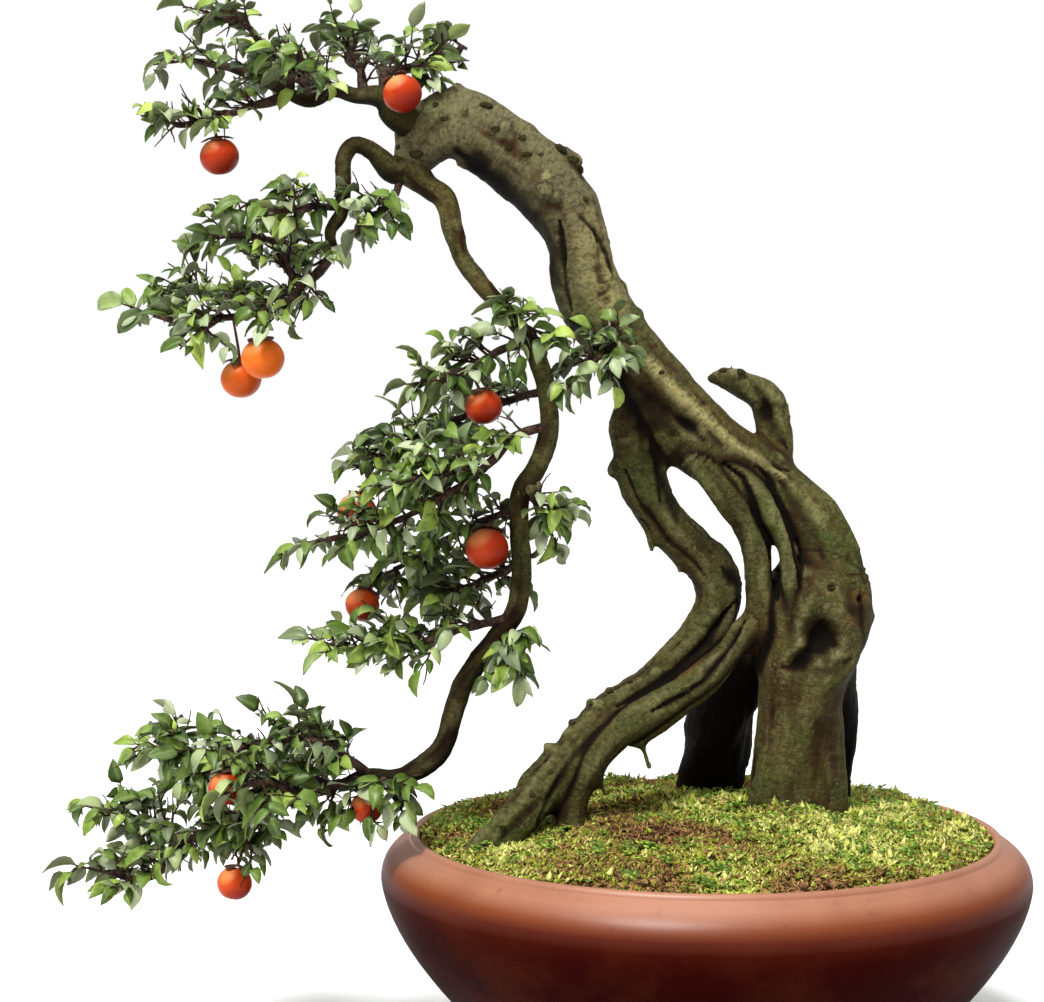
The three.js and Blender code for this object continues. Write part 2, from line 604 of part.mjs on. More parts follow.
// A blade's corners, each as shares of its length and of its half width
const TIP_BLADE = [[0.36, 1], [0.7, 0.78], [1, 0], [0.7, -0.78], [0.36, -1]];
const SIDE_BLADE = [[0.42, -1], [1, 0], [0.68, 0.78], [0.3, 1]];

// The corners of one leaf of a spray, from the near side of its base round its tip. Leaves are counted from
// the spray's tip back: leaf 0 carries the stem on and the others alternate.
function leafCorners(spray, boughIndex, leaf) {
  const key = spray.slot * 10 + leaf;
  const side = leaf % 2 === 0 ? -1 : 1;
  const length = draw(LEAF_LENGTH, boughIndex, key, DRAWN.length);
  const width = (length * LEAF_WIDTH_SHARE) / 2;
  if (leaf === 0) {
    return TIP_BLADE.map(([u, v]) => new THREE.Vector2(v * width, spray.stem + u * length));
  }
  const height = spray.stem - LEAF_FIRST_DROP - LEAF_PITCH * (leaf - 1);
  const play = draw(LEAF_SPREAD_PLAY, boughIndex, key, DRAWN.spread);
  const spread = degrees(LEAF_SPREAD + LEAF_SPREAD_STEP * leaf + play);
  const along = new THREE.Vector2(side * Math.sin(spread), Math.cos(spread));
  const across = new THREE.Vector2(-side * Math.cos(spread), Math.sin(spread));
  const corners = SIDE_BLADE.map(([u, v]) => {
    const corner = new THREE.Vector2(side * STEM_HALF_WIDTH, height);
    return corner.addScaledVector(along, u * length).addScaledVector(across, v * width);
  });
  const near = new THREE.Vector2(side * STEM_HALF_WIDTH, height - LEAF_BASE_HALF_WIDTH);
  const far = new THREE.Vector2(side * STEM_HALF_WIDTH, height + LEAF_BASE_HALF_WIDTH);
  return [near, ...corners, far];
}

// A spray is one outline, of the stem with all its leaves, that is arched down on both sides and to its tip
function spraySolid(spray, boughIndex) {
  const right = [];
  const left = [];
  for (let leaf = spray.leaves - 1; leaf > 0; leaf -= 1) {
    (leaf % 2 === 0 ? left : right).push(...leafCorners(spray, boughIndex, leaf));
  }
  const outline = [
    new THREE.Vector2(STEM_HALF_WIDTH, 0),
    ...right,
    ...leafCorners(spray, boughIndex, 0),
    ...left.reverse(),
    new THREE.Vector2(-STEM_HALF_WIDTH, 0),
  ];
  const shape = new THREE.Shape(outline);
  const geometry = new THREE.ExtrudeGeometry(shape, { depth: LEAF_THICKNESS, bevelEnabled: false });
  const position = geometry.getAttribute("position");
  const droop = draw(SPRAY_DROOP, boughIndex, spray.slot, DRAWN.droop);
  for (let i = 0; i < position.count; i += 1) {
    const [x, y] = [position.getX(i), position.getY(i)];
    const beyond = Math.max(0, y - spray.stem);
    const arch = -droop * (x ** 2 / SIDE_DROOP_LENGTH + beyond ** 2 / TIP_DROOP_LENGTH);
    const wave = LEAF_WAVE * Math.abs(x) * Math.sin(LEAF_WAVE_RATE * y + spray.slot);
    position.setZ(i, position.getZ(i) - LEAF_THICKNESS / 2 + arch + wave);
  }
  const facing = draw([0, 1], boughIndex, spray.slot, DRAWN.facing) < FACE_FRONT_SHARE ? -1 : 1;
  const tilt = draw(FACE_TILT, boughIndex, spray.slot, DRAWN.tilt);
  const sway = draw(FACE_SWAY, boughIndex, spray.slot, DRAWN.sway);
  const face = perpendicular(new THREE.Vector3(sway, facing * tilt, 1), spray.heading);
  return solidOf(geometry.applyMatrix4(basisAt(spray.base, spray.heading, face)));
}

// What is already in place, so that nothing new comes within the gap of another node
const placed = [];
const NEAR = 1;

function boxesMeet(a, b) {
  return [0, 1, 2].every((k) => a.min[k] < b.max[k] + NEAR && b.min[k] < a.max[k] + NEAR);
}

function keep(name, solid) {
  placed.push({ name, solid, box: solid.boundingBox() });
  return solid;
}

function isClear(name, solid) {
  const box = solid.boundingBox();
  const near = placed.filter((other) => other.name !== name && boxesMeet(box, other.box));
  return near.every((other) => solid.minGap(other.solid, NEAR) > TOUCH_GAP);
}

// The fruit hangs from the nearest bough above it, on a stalk out of its calyx
function nearestBoughPoint(centre, radius) {
  const points = 100;
  let best = null;
  for (const [name, stations] of Object.entries(boughs)) {
    const curve = curveThrough(stations);
    for (let i = 8; i <= points; i += 1) {
      const share = (woodShare(stations) * i) / points;
      const point = curve.getPoint(share);
      const distance = point.distanceTo(centre);
      const isAbove = point.z > centre.z + radius / 2;
      if (isAbove && (!best || distance < best.distance)) {
        best = { name, point, distance, radius: radiusAlong(stations, share) };
      }
    }
  }
  return best;
}

// A four-lobed star laid over the top of the fruit, with the stalk that hangs it, which ends the shortfall
// before its hanging point. The fruit's own top is +Z.
function calyxSolid(radius, hangPoint, shortfall) {
  const corners = Array.from({ length: 8 }, (_, i) => {
    const angle = (i * Math.PI) / 4;
    const reach = i % 2 === 0 ? CALYX_LOBE_LENGTH : CALYX_NOTCH_RADIUS;
    return new THREE.Vector2(Math.cos(angle) * reach, Math.sin(angle) * reach);
  });
  const star = new THREE.ExtrudeGeometry(new THREE.Shape(corners), {
    depth: LEAF_THICKNESS,
    bevelEnabled: false,
  });
  const position = star.getAttribute("position");
  for (let i = 0; i < position.count; i += 1) {
    const [x, y] = [position.getX(i), position.getY(i)];
    const reach = Math.hypot(x, y);
    const height = radius + CALYX_CLEARANCE + position.getZ(i);
    const scale = (Math.sin(reach / radius) * height) / reach;
    position.setXYZ(i, x * scale, y * scale, Math.cos(reach / radius) * height);
  }
  const root = new THREE.Vector3(0, 0, radius + CALYX_CLEARANCE);
  const gap = hangPoint.clone().sub(root);
  const end = root.clone().addScaledVector(gap, 1 - shortfall / gap.length());
  const bend = root.clone().add(new THREE.Vector3(0, 0, gap.length() * STALK_RISE));
  const stalkCurve = new THREE.QuadraticBezierCurve3(root, bend, end);
  const stalk = tube(stalkCurve, () => STALK_RADIUS, { sides: 4, steps: 2 });
  return solidOf(star).add(stalk);
}

// The stalk is drawn out until it lies the stalk's gap from the bough's wood
function seatedCalyx(radius, hangPoint, hangRadius, placing, bough) {
  let shortfall = hangRadius + 2 * STALK_GAP;
  for (let round = 0; round < STALK_ROUNDS; round += 1) {
    const calyx = geometryOf(calyxSolid(radius, hangPoint, shortfall)).applyMatrix4(placing);
    shortfall -= solidOf(calyx).minGap(bough, STALK_SEARCH) - STALK_GAP;
  }
  return calyxSolid(radius, hangPoint, shortfall);
}

const bonsai = new THREE.Group();
const potted = new THREE.Group();
const tree = new THREE.Group();
bonsai.add(potted, tree);

const pot = keep("pot", potSolid());
potted.add(meshOf("pot", geometryOf(pot), "pot", 0.4));

const wood = keep("tree_wood", treeSolid(0));
const woodHoles = treeSolid(TOUCH_GAP);
tree.add(meshOf("tree_wood", geometryOf(wood), "bark", 0.9));

const soil = keep("soil", soilSolid(woodHoles));
potted.add(meshOf("soil", geometryOf(soil), "soil", 1));

drainCentres().forEach(([x, y], i) => {
  potted.add(meshOf(`drain_screen_${i + 1}`, geometryOf(screenSolid(x, y)), "screen", 0.6));
});

// The boughs' own wood comes first, cut back from what it grows from, so that fruits can hang from it
const trimmed = {};
const boughHoles = [];
for (const [name, stations] of Object.entries(boughs)) {
  let bough = boughWood(stations, 0).subtract(woodHoles);
  for (const hole of boughHoles) {
    if (boxesMeet(bough.boundingBox(), hole.boundingBox())) bough = bough.subtract(hole);
  }
  trimmed[name] = keep(name, largestOf(bough));
  boughHoles.push(boughWood(stations, TOUCH_GAP));
}

fruits.forEach((station, i) => {
  const number = String(i + 1).padStart(2, "0");
  const centre = place(station);
  const radius = station[3];
  const hang = nearestBoughPoint(centre, radius);
  const axis = hang.point.clone().sub(centre).normalize().addScaledVector(UP, STALK_UPRIGHTNESS).normalize();
  const hung = new THREE.Group();
  hung.position.copy(centre);
  hung.quaternion.setFromUnitVectors(UP, axis);
  hung.updateMatrix();
  const body = new THREE.SphereGeometry(radius, 10, 6).rotateX(Math.PI / 2).scale(1, 1, FRUIT_FLATNESS);
  const hangPoint = hang.point.clone().applyMatrix4(hung.matrix.clone().invert());
  const calyx = geometryOf(seatedCalyx(radius, hangPoint, hang.radius, hung.matrix, trimmed[hang.name]));
  hung.add(meshOf(`fruit_${number}`, body, "fruit", 0.25), meshOf(`calyx_${number}`, calyx, "calyx", 0.8));
  tree.add(hung);
  keep(`fruit_${number}`, solidOf(body.clone().applyMatrix4(hung.matrix)));
  keep(`calyx_${number}`, solidOf(calyx.clone().applyMatrix4(hung.matrix)));
});

Object.entries(boughs).forEach(([name, stations], boughIndex) => {
  const parts = [trimmed[name]];
  const turns = Array.from({ length: TURNS_TRIED }, (_, step) => spraysOf(stations, boughIndex, step));
  turns[0].forEach((_, i) => {
    const tried = turns.map((sprays) => spraySolid(sprays[i], boughIndex));
    const clear = tried.find((solid) => isClear(name, solid));
    if (clear) parts.push(clear);
  });
  const leafy = largestOf(Manifold.union(parts));
  keep(name, leafy);
  tree.add(meshOf(`leafy_bough_${name}`, geometryOf(leafy), "leaf", 0.45));
});

export default bonsai;
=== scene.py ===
# %% [markdown]
# # A Diospyros armata bonsai in its pot
# An old hollowed trunk leans to the left over a bare root leg, droops at the top and lets one long branch
# fall beside a round pot. The solid model gives every main form its place. This lesson dresses it: the
# pot is spun smooth, the old wood is fused and carved, and leaves, moss and fruits get their real shape
# and finish.

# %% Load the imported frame
import math

import bpy
import numpy as np
from mathutils import Matrix, Vector
from mathutils.bvhtree import BVHTree


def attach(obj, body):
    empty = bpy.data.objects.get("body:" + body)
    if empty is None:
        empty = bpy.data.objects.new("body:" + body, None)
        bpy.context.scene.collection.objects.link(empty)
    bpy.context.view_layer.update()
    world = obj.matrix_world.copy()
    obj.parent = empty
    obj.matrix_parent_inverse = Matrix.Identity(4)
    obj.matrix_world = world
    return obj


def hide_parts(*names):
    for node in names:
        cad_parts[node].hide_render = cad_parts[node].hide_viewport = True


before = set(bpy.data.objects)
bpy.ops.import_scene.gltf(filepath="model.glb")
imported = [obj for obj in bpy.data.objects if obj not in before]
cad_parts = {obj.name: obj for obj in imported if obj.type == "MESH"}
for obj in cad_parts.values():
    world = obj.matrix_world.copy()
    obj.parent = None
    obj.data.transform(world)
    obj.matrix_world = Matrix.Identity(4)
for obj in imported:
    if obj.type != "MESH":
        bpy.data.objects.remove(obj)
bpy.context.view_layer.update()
MM = 0.001
print("CAD nodes:", len(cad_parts))

# %% [markdown]
# ## Camera
# The photograph looks almost level at the tree from 1.4 m away, a little above its middle. A camera that
# stands at that place, tilted down by a few degrees, needs no shift: only the lens is matched to the
# frame.

# %% Camera
EYE = Vector((-0.110, -1.400, 0.416))
CAMERA_DIP = 3.2
LENS_MM = 80.6

bpy.ops.object.camera_add(location=EYE, rotation=(math.radians(90 - CAMERA_DIP), 0, 0))
camera = bpy.context.object
camera.name = "camera"
camera.data.lens = LENS_MM
bpy.context.scene.camera = camera

# %% [markdown]
# ## Floor and light
# The pot stands on a plain pale floor that is wide enough to fade into the background from every side.
# The camera sees a white sky, but the light comes mostly from overhead: the sky is dimmer near the floor,
# a soft sun stands at the upper left, and two large panels put the broad sheen on the leaves and on the
# shoulder of the pot.

# %% Short calls for node trees
class Bench:
    """A node tree under construction."""

    def __init__(self, tree):
        self.tree = tree

    def feed(self, value, socket):
        """Sets a socket to a number or a colour, or links another node's output to it."""
        if isinstance(value, bpy.types.NodeSocket):
            self.tree.links.new(value, socket)
        elif socket.type == "RGBA":
            socket.default_value = (*value, 1)
        else:
            socket.default_value = value

    def node(self, kind, result, inputs=None, **settings):
        """One output of a new node. Its inputs are numbers, colours or other outputs."""
        node = self.tree.nodes.new("ShaderNode" + kind)
        for label, value in settings.items():
            setattr(node, label, value)
        for label, value in (inputs or {}).items():
            self.feed(value, node.inputs[label])
        return node.outputs[result]


# %% Floor, sky and lamps
FLOOR_RADIUS, FLOOR_GREY, FLOOR_ROUGHNESS = 9.0, (0.84, 0.84, 0.83), 0.9
SKY_LOW, SKY_HIGH, SKY_TOP, SKY_SEEN = 0.31, 0.74, 0.9, 1.02
SUN_TURN, SUN_ENERGY, SUN_WIDTH = (34, -28), 3.3, 14
# Each panel: its place, its dip and turn in degrees, its energy and its size.
PANELS = [((-0.5, -1.3, 1.5), (48, -20), 6, 0.9), ((-0.3, 0.05, 1.6), (0, 0), 9, 1.1)]

bpy.ops.mesh.primitive_circle_add(vertices=96, radius=FLOOR_RADIUS, fill_type="NGON")
floor = bpy.context.object
floor.name = "floor"

floor_finish = bpy.data.materials.new("pale_floor")
floor_finish.use_nodes = True
floor_shader = floor_finish.node_tree.nodes["Principled BSDF"]
floor_shader.inputs["Base Color"].default_value = (*FLOOR_GREY, 1)
floor_shader.inputs["Roughness"].default_value = FLOOR_ROUGHNESS
floor.data.materials.append(floor_finish)

sky = bpy.data.worlds.new("pale_sky")
sky.use_nodes = True
sky_bench = Bench(sky.node_tree)
sky_height = sky_bench.node("SeparateXYZ", "Z", {"Vector": sky_bench.node("TexCoord", "Generated")})
sky_fade = sky_bench.node("MapRange", "Result", {
    "Value": sky_height, "From Max": SKY_TOP, "To Min": SKY_LOW, "To Max": SKY_HIGH,
})
sky_ray = sky_bench.node("LightPath", "Is Camera Ray")
sky_strength = sky_bench.node("Mix", "Result", {"Factor": sky_ray, "A": sky_fade, "B": SKY_SEEN})
sky_backdrop = sky.node_tree.nodes["Background"]
sky_bench.feed((1, 1, 1), sky_backdrop.inputs["Color"])
sky_bench.feed(sky_strength, sky_backdrop.inputs["Strength"])
bpy.context.scene.world = sky
bpy.context.scene.view_settings.view_transform = "Standard"


def add_lamp(kind, where, dip_and_turn, energy):
    """A lamp at a place, dipped and turned by degrees."""
    dip, turn = (math.radians(angle) for angle in dip_and_turn)
    bpy.ops.object.light_add(type=kind, location=where, rotation=(dip, 0, turn))
    lamp = bpy.context.object.data
    lamp.energy = energy
    return lamp


add_lamp("SUN", (0, 0, 0), SUN_TURN, SUN_ENERGY).angle = math.radians(SUN_WIDTH)
for where, dip_and_turn, energy, size in PANELS:
    add_lamp("AREA", where, dip_and_turn, energy).size = size

# %% [markdown]
# ## Routes
# The tree was drawn from the front, on the plane y = 0, as stations of x, height, depth and radius in
# millimetres. Each station is then moved along the line of sight to its own depth. The same rule here
# puts every fine piece exactly where its plain solid is, and a seeded draw repeats the solid's own
# choices.

# %% Stations, routes and draws
def place(x, z, depth):
    """A station's point in metres, moved along the line of sight to its depth."""
    reach = 1 - depth * MM / EYE.y
    return Vector((EYE.x + (x * MM - EYE.x) * reach, depth * MM, EYE.z + (z * MM - EYE.z) * reach))


DRAWN = ["turn", "lean", "stem", "length", "spread", "droop", "facing", "tilt", "sway"]


def draw(limits, bough, number, label):
    """A repeatable draw between two limits, for one of a bough's numbered things and what is drawn for it."""
    low, high = limits
    wave = math.sin(bough * 127.1 + number * 311.7 + (1 + DRAWN.index(label)) * 74.7) * 43758.5453
    return low + (high - low) * (wave - math.floor(wave))


def points_along(stations, shares):
    """Points of the smooth route through the stations, at shares of it."""
    knots = np.array([place(x, z, depth) for x, z, depth, _ in stations])
    knots = np.vstack([2 * knots[0] - knots[1], knots, 2 * knots[-1] - knots[-2]])
    spans = len(stations) - 1
    where = np.clip(np.asarray(shares, float), 0, 1) * spans
    span = np.minimum(where.astype(int), spans - 1)
    t = (where - span)[:, None]
    before, start, end, after = (knots[span + i] for i in range(4))
    leave, arrive = (end - before) / 2, (after - start) / 2
    curved = (2 * start - 2 * end + leave + arrive) * t + (3 * end - 3 * start - 2 * leave - arrive)
    return (curved * t + leave) * t + start


def radii_along(stations, shares):
    """Radii of the route in metres at the same shares, larger where it lies further back."""
    knots = np.linspace(0, 1, len(stations))
    radius = np.interp(shares, knots, [station[3] for station in stations])
    depth = np.interp(shares, knots, [station[2] for station in stations])
    return radius * MM * (1 - depth * MM / EYE.y)


def tangent_at(stations, share):
    """The direction of the route at a share of it."""
    nearby = 1e-4
    before, after = points_along(stations, [max(0, share - nearby), min(1, share + nearby)])
    return Vector(after - before).normalized()


def route_length(stations):
    """The length of the straight spans between the stations."""
    knots = np.array([place(x, z, depth) for x, z, depth, _ in stations])
    return float(np.linalg.norm(np.diff(knots, axis=0), axis=1).sum())

# %% Stations of the limbs
HEAVY_WOOD = {
    "root_column": [[57, 100, -2, 26], [57, 128, -2, 30], [55, 158, -2, 28], [57, 194, 0, 26],
        [59, 224, 0, 27], [62, 248, 0, 32], [64, 271, 0, 33], [70, 292, 0, 25], [74, 306, 0, 16]],
    "trunk": [[78, 280, 0, 20], [75, 300, 0, 20], [67, 320, 0, 17.5], [53, 337, 0, 16], [35, 352, 0, 17],
        [14, 364, 0, 20], [-4, 377, 0, 22], [-20, 395, 0, 22], [-36, 413, 0, 21], [-52, 433, 0, 20],
        [-66, 453, 0, 21], [-74, 471, 0, 20.5], [-77, 491, 0, 20], [-84, 511, 0, 21], [-98, 529, 0, 21],
        [-114, 543, 0, 20], [-131, 554, 0, 20], [-148, 561, 0, 21.5], [-162, 556, 0, 18],
        [-171, 546, 0, 14], [-178, 534, 0, 9]],
    "twin_trunk_and_leg": [[-42, 412, -2, 13], [-42, 386, 2, 14.5], [-38, 356, 4, 15.5],
        [-29, 332, 6, 13.5], [-10, 311, 10, 14], [4, 294, 12, 13.5], [7, 277, 10, 14], [-2, 256, 4, 13.5],
        [-27, 231, -8, 12], [-54, 211, -22, 12], [-76, 188, -36, 13], [-94, 167, -46, 14.5],
        [-112, 146, -56, 13], [-129, 125, -64, 13], [-144, 107, -68, 9]],
    "right_bulge": [[80, 298, -2, 15], [86, 275, -2, 16], [82, 251, -2, 15], [70, 226, -1, 8]],
    "back_root": [[24, 254, 20, 18], [14, 224, 40, 21], [9, 200, 52, 21], [5, 176, 58, 18],
        [3, 150, 62, 17], [2, 120, 64, 14]],
}

LIGHT_WOOD = {
    "front_strand": [[-8, 372, -6, 13], [10, 347, -12, 10], [23, 328, -12, 9], [30, 310, -12, 9.5],
        [34, 289, -12, 10.5], [37, 262, -9, 12], [40, 240, -4, 9]],
    "inner_strand": [[8, 362, -10, 9], [24, 350, -16, 7.5], [39, 330, -17, 7], [49, 310, -17, 6.5],
        [52, 288, -16, 6.5], [54, 266, -14, 8], [55, 248, -10, 8]],
    "leg_lower_strand": [[46, 262, -8, 8], [28, 264, -13, 8], [14, 245, -14, 8.5], [-6, 228, -18, 9],
        [-30, 213, -26, 10], [-52, 197, -34, 11], [-68, 179, -42, 11], [-78, 158, -46, 9],
        [-83, 134, -50, 9], [-87, 116, -52, 7]],
    "leg_thin_strand": [[30, 250, -6, 5.5], [21, 250, -9, 5.5], [10, 233, -11, 5.5], [-6, 218, -15, 6],
        [-27, 204, -23, 6], [-44, 191, -31, 5]],
    "right_back_root": [[78, 248, 15, 14], [83, 218, 30, 10], [84, 191, 40, 7], [83, 161, 46, 6],
        [82, 130, 48, 6]],
    "hooked_stub": [[45, 340, 4, 13], [40, 358, 8, 13], [41, 376, 12, 11], [40, 389, 14, 11],
        [35, 401, 14, 11], [22, 408, 12, 9.5], [9, 412, 10, 6.5], [1, 410, 8, 3]],
    "long_branch": [[-175, 535, 0, 8], [-166, 526, -3, 6.5], [-156, 518, -6, 6], [-151, 500, -10, 5.6],
        [-146, 483, -14, 5.4], [-135, 468, -18, 5.4], [-121, 453, -24, 5.4], [-106, 434, -30, 5.4],
        [-96, 407, -34, 5.6], [-94, 380, -36, 5.8], [-100, 359, -36, 6], [-110, 344, -34, 6],
        [-112, 320, -32, 6], [-110, 296, -30, 6], [-114, 271, -30, 6], [-129, 251, -32, 6.3],
        [-144, 230, -34, 6.3], [-152, 207, -36, 6.3], [-159, 187, -38, 6.5], [-174, 175, -40, 5.5],
        [-186, 171, -42, 4.5]],
    "s_branch": [[-176, 537, 0, 8.5], [-187, 535, -4, 7], [-198, 545, -8, 5.6], [-209, 550, -10, 5],
        [-216, 541, -12, 4.8], [-217, 524, -14, 4.5], [-218, 509, -15, 4]],
    "crown_limb": [[-168, 554, 0, 9], [-183, 567, -3, 8.5], [-193, 578, -5, 7], [-209, 579, -6, 4.8],
        [-222, 582, -6, 4.2], [-236, 576, -6, 4], [-248, 580, -6, 3.8]],
}

DEADWOOD = {
    "rootlet_left": [[-64, 179, -42, 3], [-59, 158, -42, 2]],
    "rootlet_right": [[-39, 196, -30, 2.4], [-33, 176, -32, 1.4]],
    "spike_upper": [[-36, 324, 4, 5], [-32, 306, 2, 1.2]],
    "spike_lower": [[-14, 308, 8, 5], [-16, 293, 6, 1.4]],
    "twin_trunk_nub": [[-44, 360, 4, 8], [-56, 359, 2, 5]],
    "branch_knob": [[-110, 344, -34, 5], [-99, 346, -38, 3.5]],
    "stub_bud": [[20, 410, 12, 3], [15, 421, 12, 1.6]],
    "trunk_knob_top": [[-136, 558, 0, 8], [-130, 576, -4, 4]],
    "trunk_knob_second": [[-110, 544, 0, 8], [-104, 563, -4, 4]],
    "trunk_knob_large": [[-92, 528, 0, 10], [-78, 543, -2, 6.5]],
    "trunk_knob_front": [[-100, 524, -6, 8], [-96, 522, -25, 4]],
    "trunk_knob_right": [[-62, 456, 0, 9], [-47, 462, -2, 5]],
}

BOUGHS = {
    "crown_1": [[-248, 580, -6, 3.6], [-248, 595, -14, 3.2], [-262, 608, -22, 2.8], [-275, 621, -28, 2.4],
        [-294, 627, -34, 2], [-308, 631, -38, 1.6]],
    "crown_2": [[-248, 580, -6, 3.6], [-264, 588, 4, 3], [-285, 596, 20, 2.6], [-309, 600, 34, 2],
        [-324, 598, 42, 1.6]],
    "crown_3": [[-252, 578, -6, 3.4], [-269, 573, -14, 2.8], [-291, 566, -22, 2.6], [-315, 562, -24, 2.2],
        [-336, 567, -26, 1.6]],
    "crown_4": [[-190, 581, -6, 5], [-191, 592, -4, 4], [-180, 595, 0, 3.2], [-165, 598, 6, 2.8],
        [-150, 602, 10, 2.6], [-146, 613, 14, 2.2], [-160, 618, 18, 1.6]],
    "crown_5": [[-204, 579, -6, 3.4], [-206, 593, 8, 2.8], [-214, 608, 24, 2.2], [-228, 621, 38, 1.6]],
    "crown_6": [[-222, 582, -6, 3.2], [-231, 590, -24, 2.6], [-243, 601, -42, 2], [-256, 605, -56, 1.6]],
    "crown_7": [[-236, 576, -6, 3.2], [-240, 587, 20, 2.6], [-252, 596, 48, 2], [-266, 597, 70, 1.6]],
    "shoulder_1": [[-218, 511, -15, 3.8], [-224, 499, -18, 3.4], [-223, 487, -22, 3.2],
        [-231, 476, -26, 3.2], [-241, 466, -28, 3], [-250, 456, -30, 3], [-266, 451, -30, 2.8],
        [-288, 448, -30, 2.6], [-314, 446, -28, 2.2], [-333, 450, -26, 1.8], [-350, 456, -24, 1.5]],
    "shoulder_2": [[-241, 466, -28, 2.8], [-251, 478, -14, 2.6], [-257, 492, 0, 2.4], [-272, 495, 10, 2.2],
        [-286, 496, 18, 2], [-304, 494, 24, 1.6]],
    "shoulder_3": [[-218, 513, -15, 2.8], [-237, 513, -34, 2.2], [-256, 511, -50, 1.8],
        [-272, 515, -58, 1.5]],
    "shoulder_4": [[-182, 529, -2, 3.2], [-190, 515, -18, 2.4], [-200, 505, -30, 2], [-210, 499, -40, 1.5]],
    "shoulder_5": [[-266, 451, -30, 2.4], [-282, 458, -6, 2], [-303, 463, 16, 1.8], [-324, 463, 32, 1.5]],
    "shoulder_6": [[-288, 448, -30, 2], [-303, 440, -46, 1.8], [-312, 431, -54, 1.5]],
    "middle_1": [[-106, 434, -30, 3], [-123, 427, -40, 2.6], [-141, 418, -46, 2.3], [-160, 411, -50, 2],
        [-178, 408, -52, 1.6]],
    "middle_2": [[-114, 445, -27, 2.6], [-106, 442, -40, 2], [-94, 436, -50, 1.6]],
    "middle_3": [[-95, 404, -34, 3], [-117, 398, -20, 2.6], [-144, 389, -10, 2.4], [-168, 379, -6, 2.2],
        [-189, 368, -6, 2], [-210, 357, -8, 1.6]],
    "middle_4": [[-94, 383, -36, 3.4], [-114, 376, -48, 3], [-133, 356, -56, 2.8], [-159, 339, -58, 2.6],
        [-190, 323, -56, 2.4], [-219, 316, -52, 2], [-246, 311, -48, 1.6]],
    "middle_5": [[-111, 335, -33, 3], [-128, 328, -22, 2.6], [-146, 320, -14, 2.4], [-165, 308, -10, 2],
        [-186, 297, -10, 1.8], [-203, 291, -12, 1.5]],
    "middle_6": [[-116, 267, -30, 3], [-140, 262, -40, 2.6], [-165, 254, -46, 2.3], [-189, 247, -48, 2],
        [-216, 249, -48, 1.8], [-234, 254, -46, 1.5]],
    "middle_7": [[-109, 343, -34, 3], [-99, 334, -32, 2.4], [-95, 321, -28, 1.8], [-89, 313, -26, 1.5]],
    "middle_8": [[-110, 302, -31, 2.8], [-126, 293, -8, 2.4], [-147, 284, 14, 2], [-168, 278, 32, 1.6]],
    "middle_9": [[-46, 428, -4, 2.8], [-58, 426, -30, 2.2], [-70, 418, -42, 1.8], [-80, 408, -50, 1.5]],
    "middle_10": [[-122, 260, -31, 2.4], [-114, 248, -42, 2], [-113, 234, -48, 1.5]],
    "middle_11": [[-133, 356, -56, 2.4], [-150, 358, -72, 2], [-172, 352, -84, 1.7], [-196, 344, -90, 1.5]],
    "lowest_1": [[-186, 171, -42, 4.2], [-204, 172, -42, 3.6], [-222, 165, -42, 3.2], [-243, 158, -40, 3],
        [-264, 149, -38, 2.8], [-285, 141, -36, 2.6], [-309, 134, -36, 2.4], [-324, 117, -38, 2.4],
        [-342, 108, -40, 2.2], [-360, 113, -40, 2], [-380, 117, -40, 1.5]],
    "lowest_2": [[-202, 172, -42, 3], [-222, 187, -52, 2.6], [-246, 194, -58, 2.4], [-273, 190, -60, 2.2],
        [-300, 185, -58, 2], [-321, 187, -56, 1.8], [-338, 190, -54, 1.5]],
    "lowest_3": [[-222, 165, -42, 2.8], [-243, 173, -14, 2.4], [-268, 177, 8, 2.1], [-294, 175, 26, 1.8],
        [-315, 170, 38, 1.5]],
    "lowest_4": [[-264, 149, -38, 2.4], [-276, 134, -50, 2], [-284, 123, -56, 1.6]],
    "lowest_5": [[-309, 134, -36, 2.2], [-333, 142, -24, 2], [-354, 149, -14, 1.7], [-369, 152, -8, 1.5]],
    "lowest_6": [[-243, 158, -40, 2.6], [-252, 164, -66, 2.2], [-270, 167, -84, 1.8],
        [-288, 161, -94, 1.5]],
    "lowest_7": [[-192, 172, -42, 2.4], [-199, 161, -56, 2], [-201, 148, -62, 1.5]],
}

FRUITS = [
    [-290, 543, -22, 11.4], [-181, 580, -25, 11.4], [-265, 423, -34, 12.6], [-278, 411, -16, 12],
    [-133, 394, -48, 10.8], [-209, 331, -20, 12], [-131, 309, -40, 12.6], [-206, 275, -28, 10.2],
    [-289, 164, -70, 10.2], [-204, 152, -50, 9.6], [-284, 106, -58, 10.2],
]

# %% [markdown]
# ## Shared finishes
# Every surface here is uneven in two ways: its colour drifts in soft patches, and it is rough in a grain
# of its own. Node groups make these once. One mixes two colours by a noise, one gives a height for the
# bump and one draws winding cracks. Each material sets its own scales and colours on them.

# %% Node groups for patches, grain and cracks
def new_group(name, inputs):
    """A bench for a group with these inputs, a vector where the value is None, and the inputs' sockets."""
    group = bpy.data.node_groups.new(name, "ShaderNodeTree")
    for label, value in inputs.items():
        kind = "Vector" if value is None else "Color" if isinstance(value, tuple) else "Float"
        socket = group.interface.new_socket(label, in_out="INPUT", socket_type="NodeSocket" + kind)
        if value is not None:
            socket.default_value = value
    return Bench(group), group.nodes.new("NodeGroupInput").outputs


def put_out(bench, label, output):
    """The finished group, which puts out a colour, or a value under another label."""
    kind = "NodeSocketColor" if label == "Color" else "NodeSocketFloat"
    bench.tree.interface.new_socket(label, in_out="OUTPUT", socket_type=kind)
    bench.feed(output, bench.tree.nodes.new("NodeGroupOutput").inputs[label])
    return bench.tree


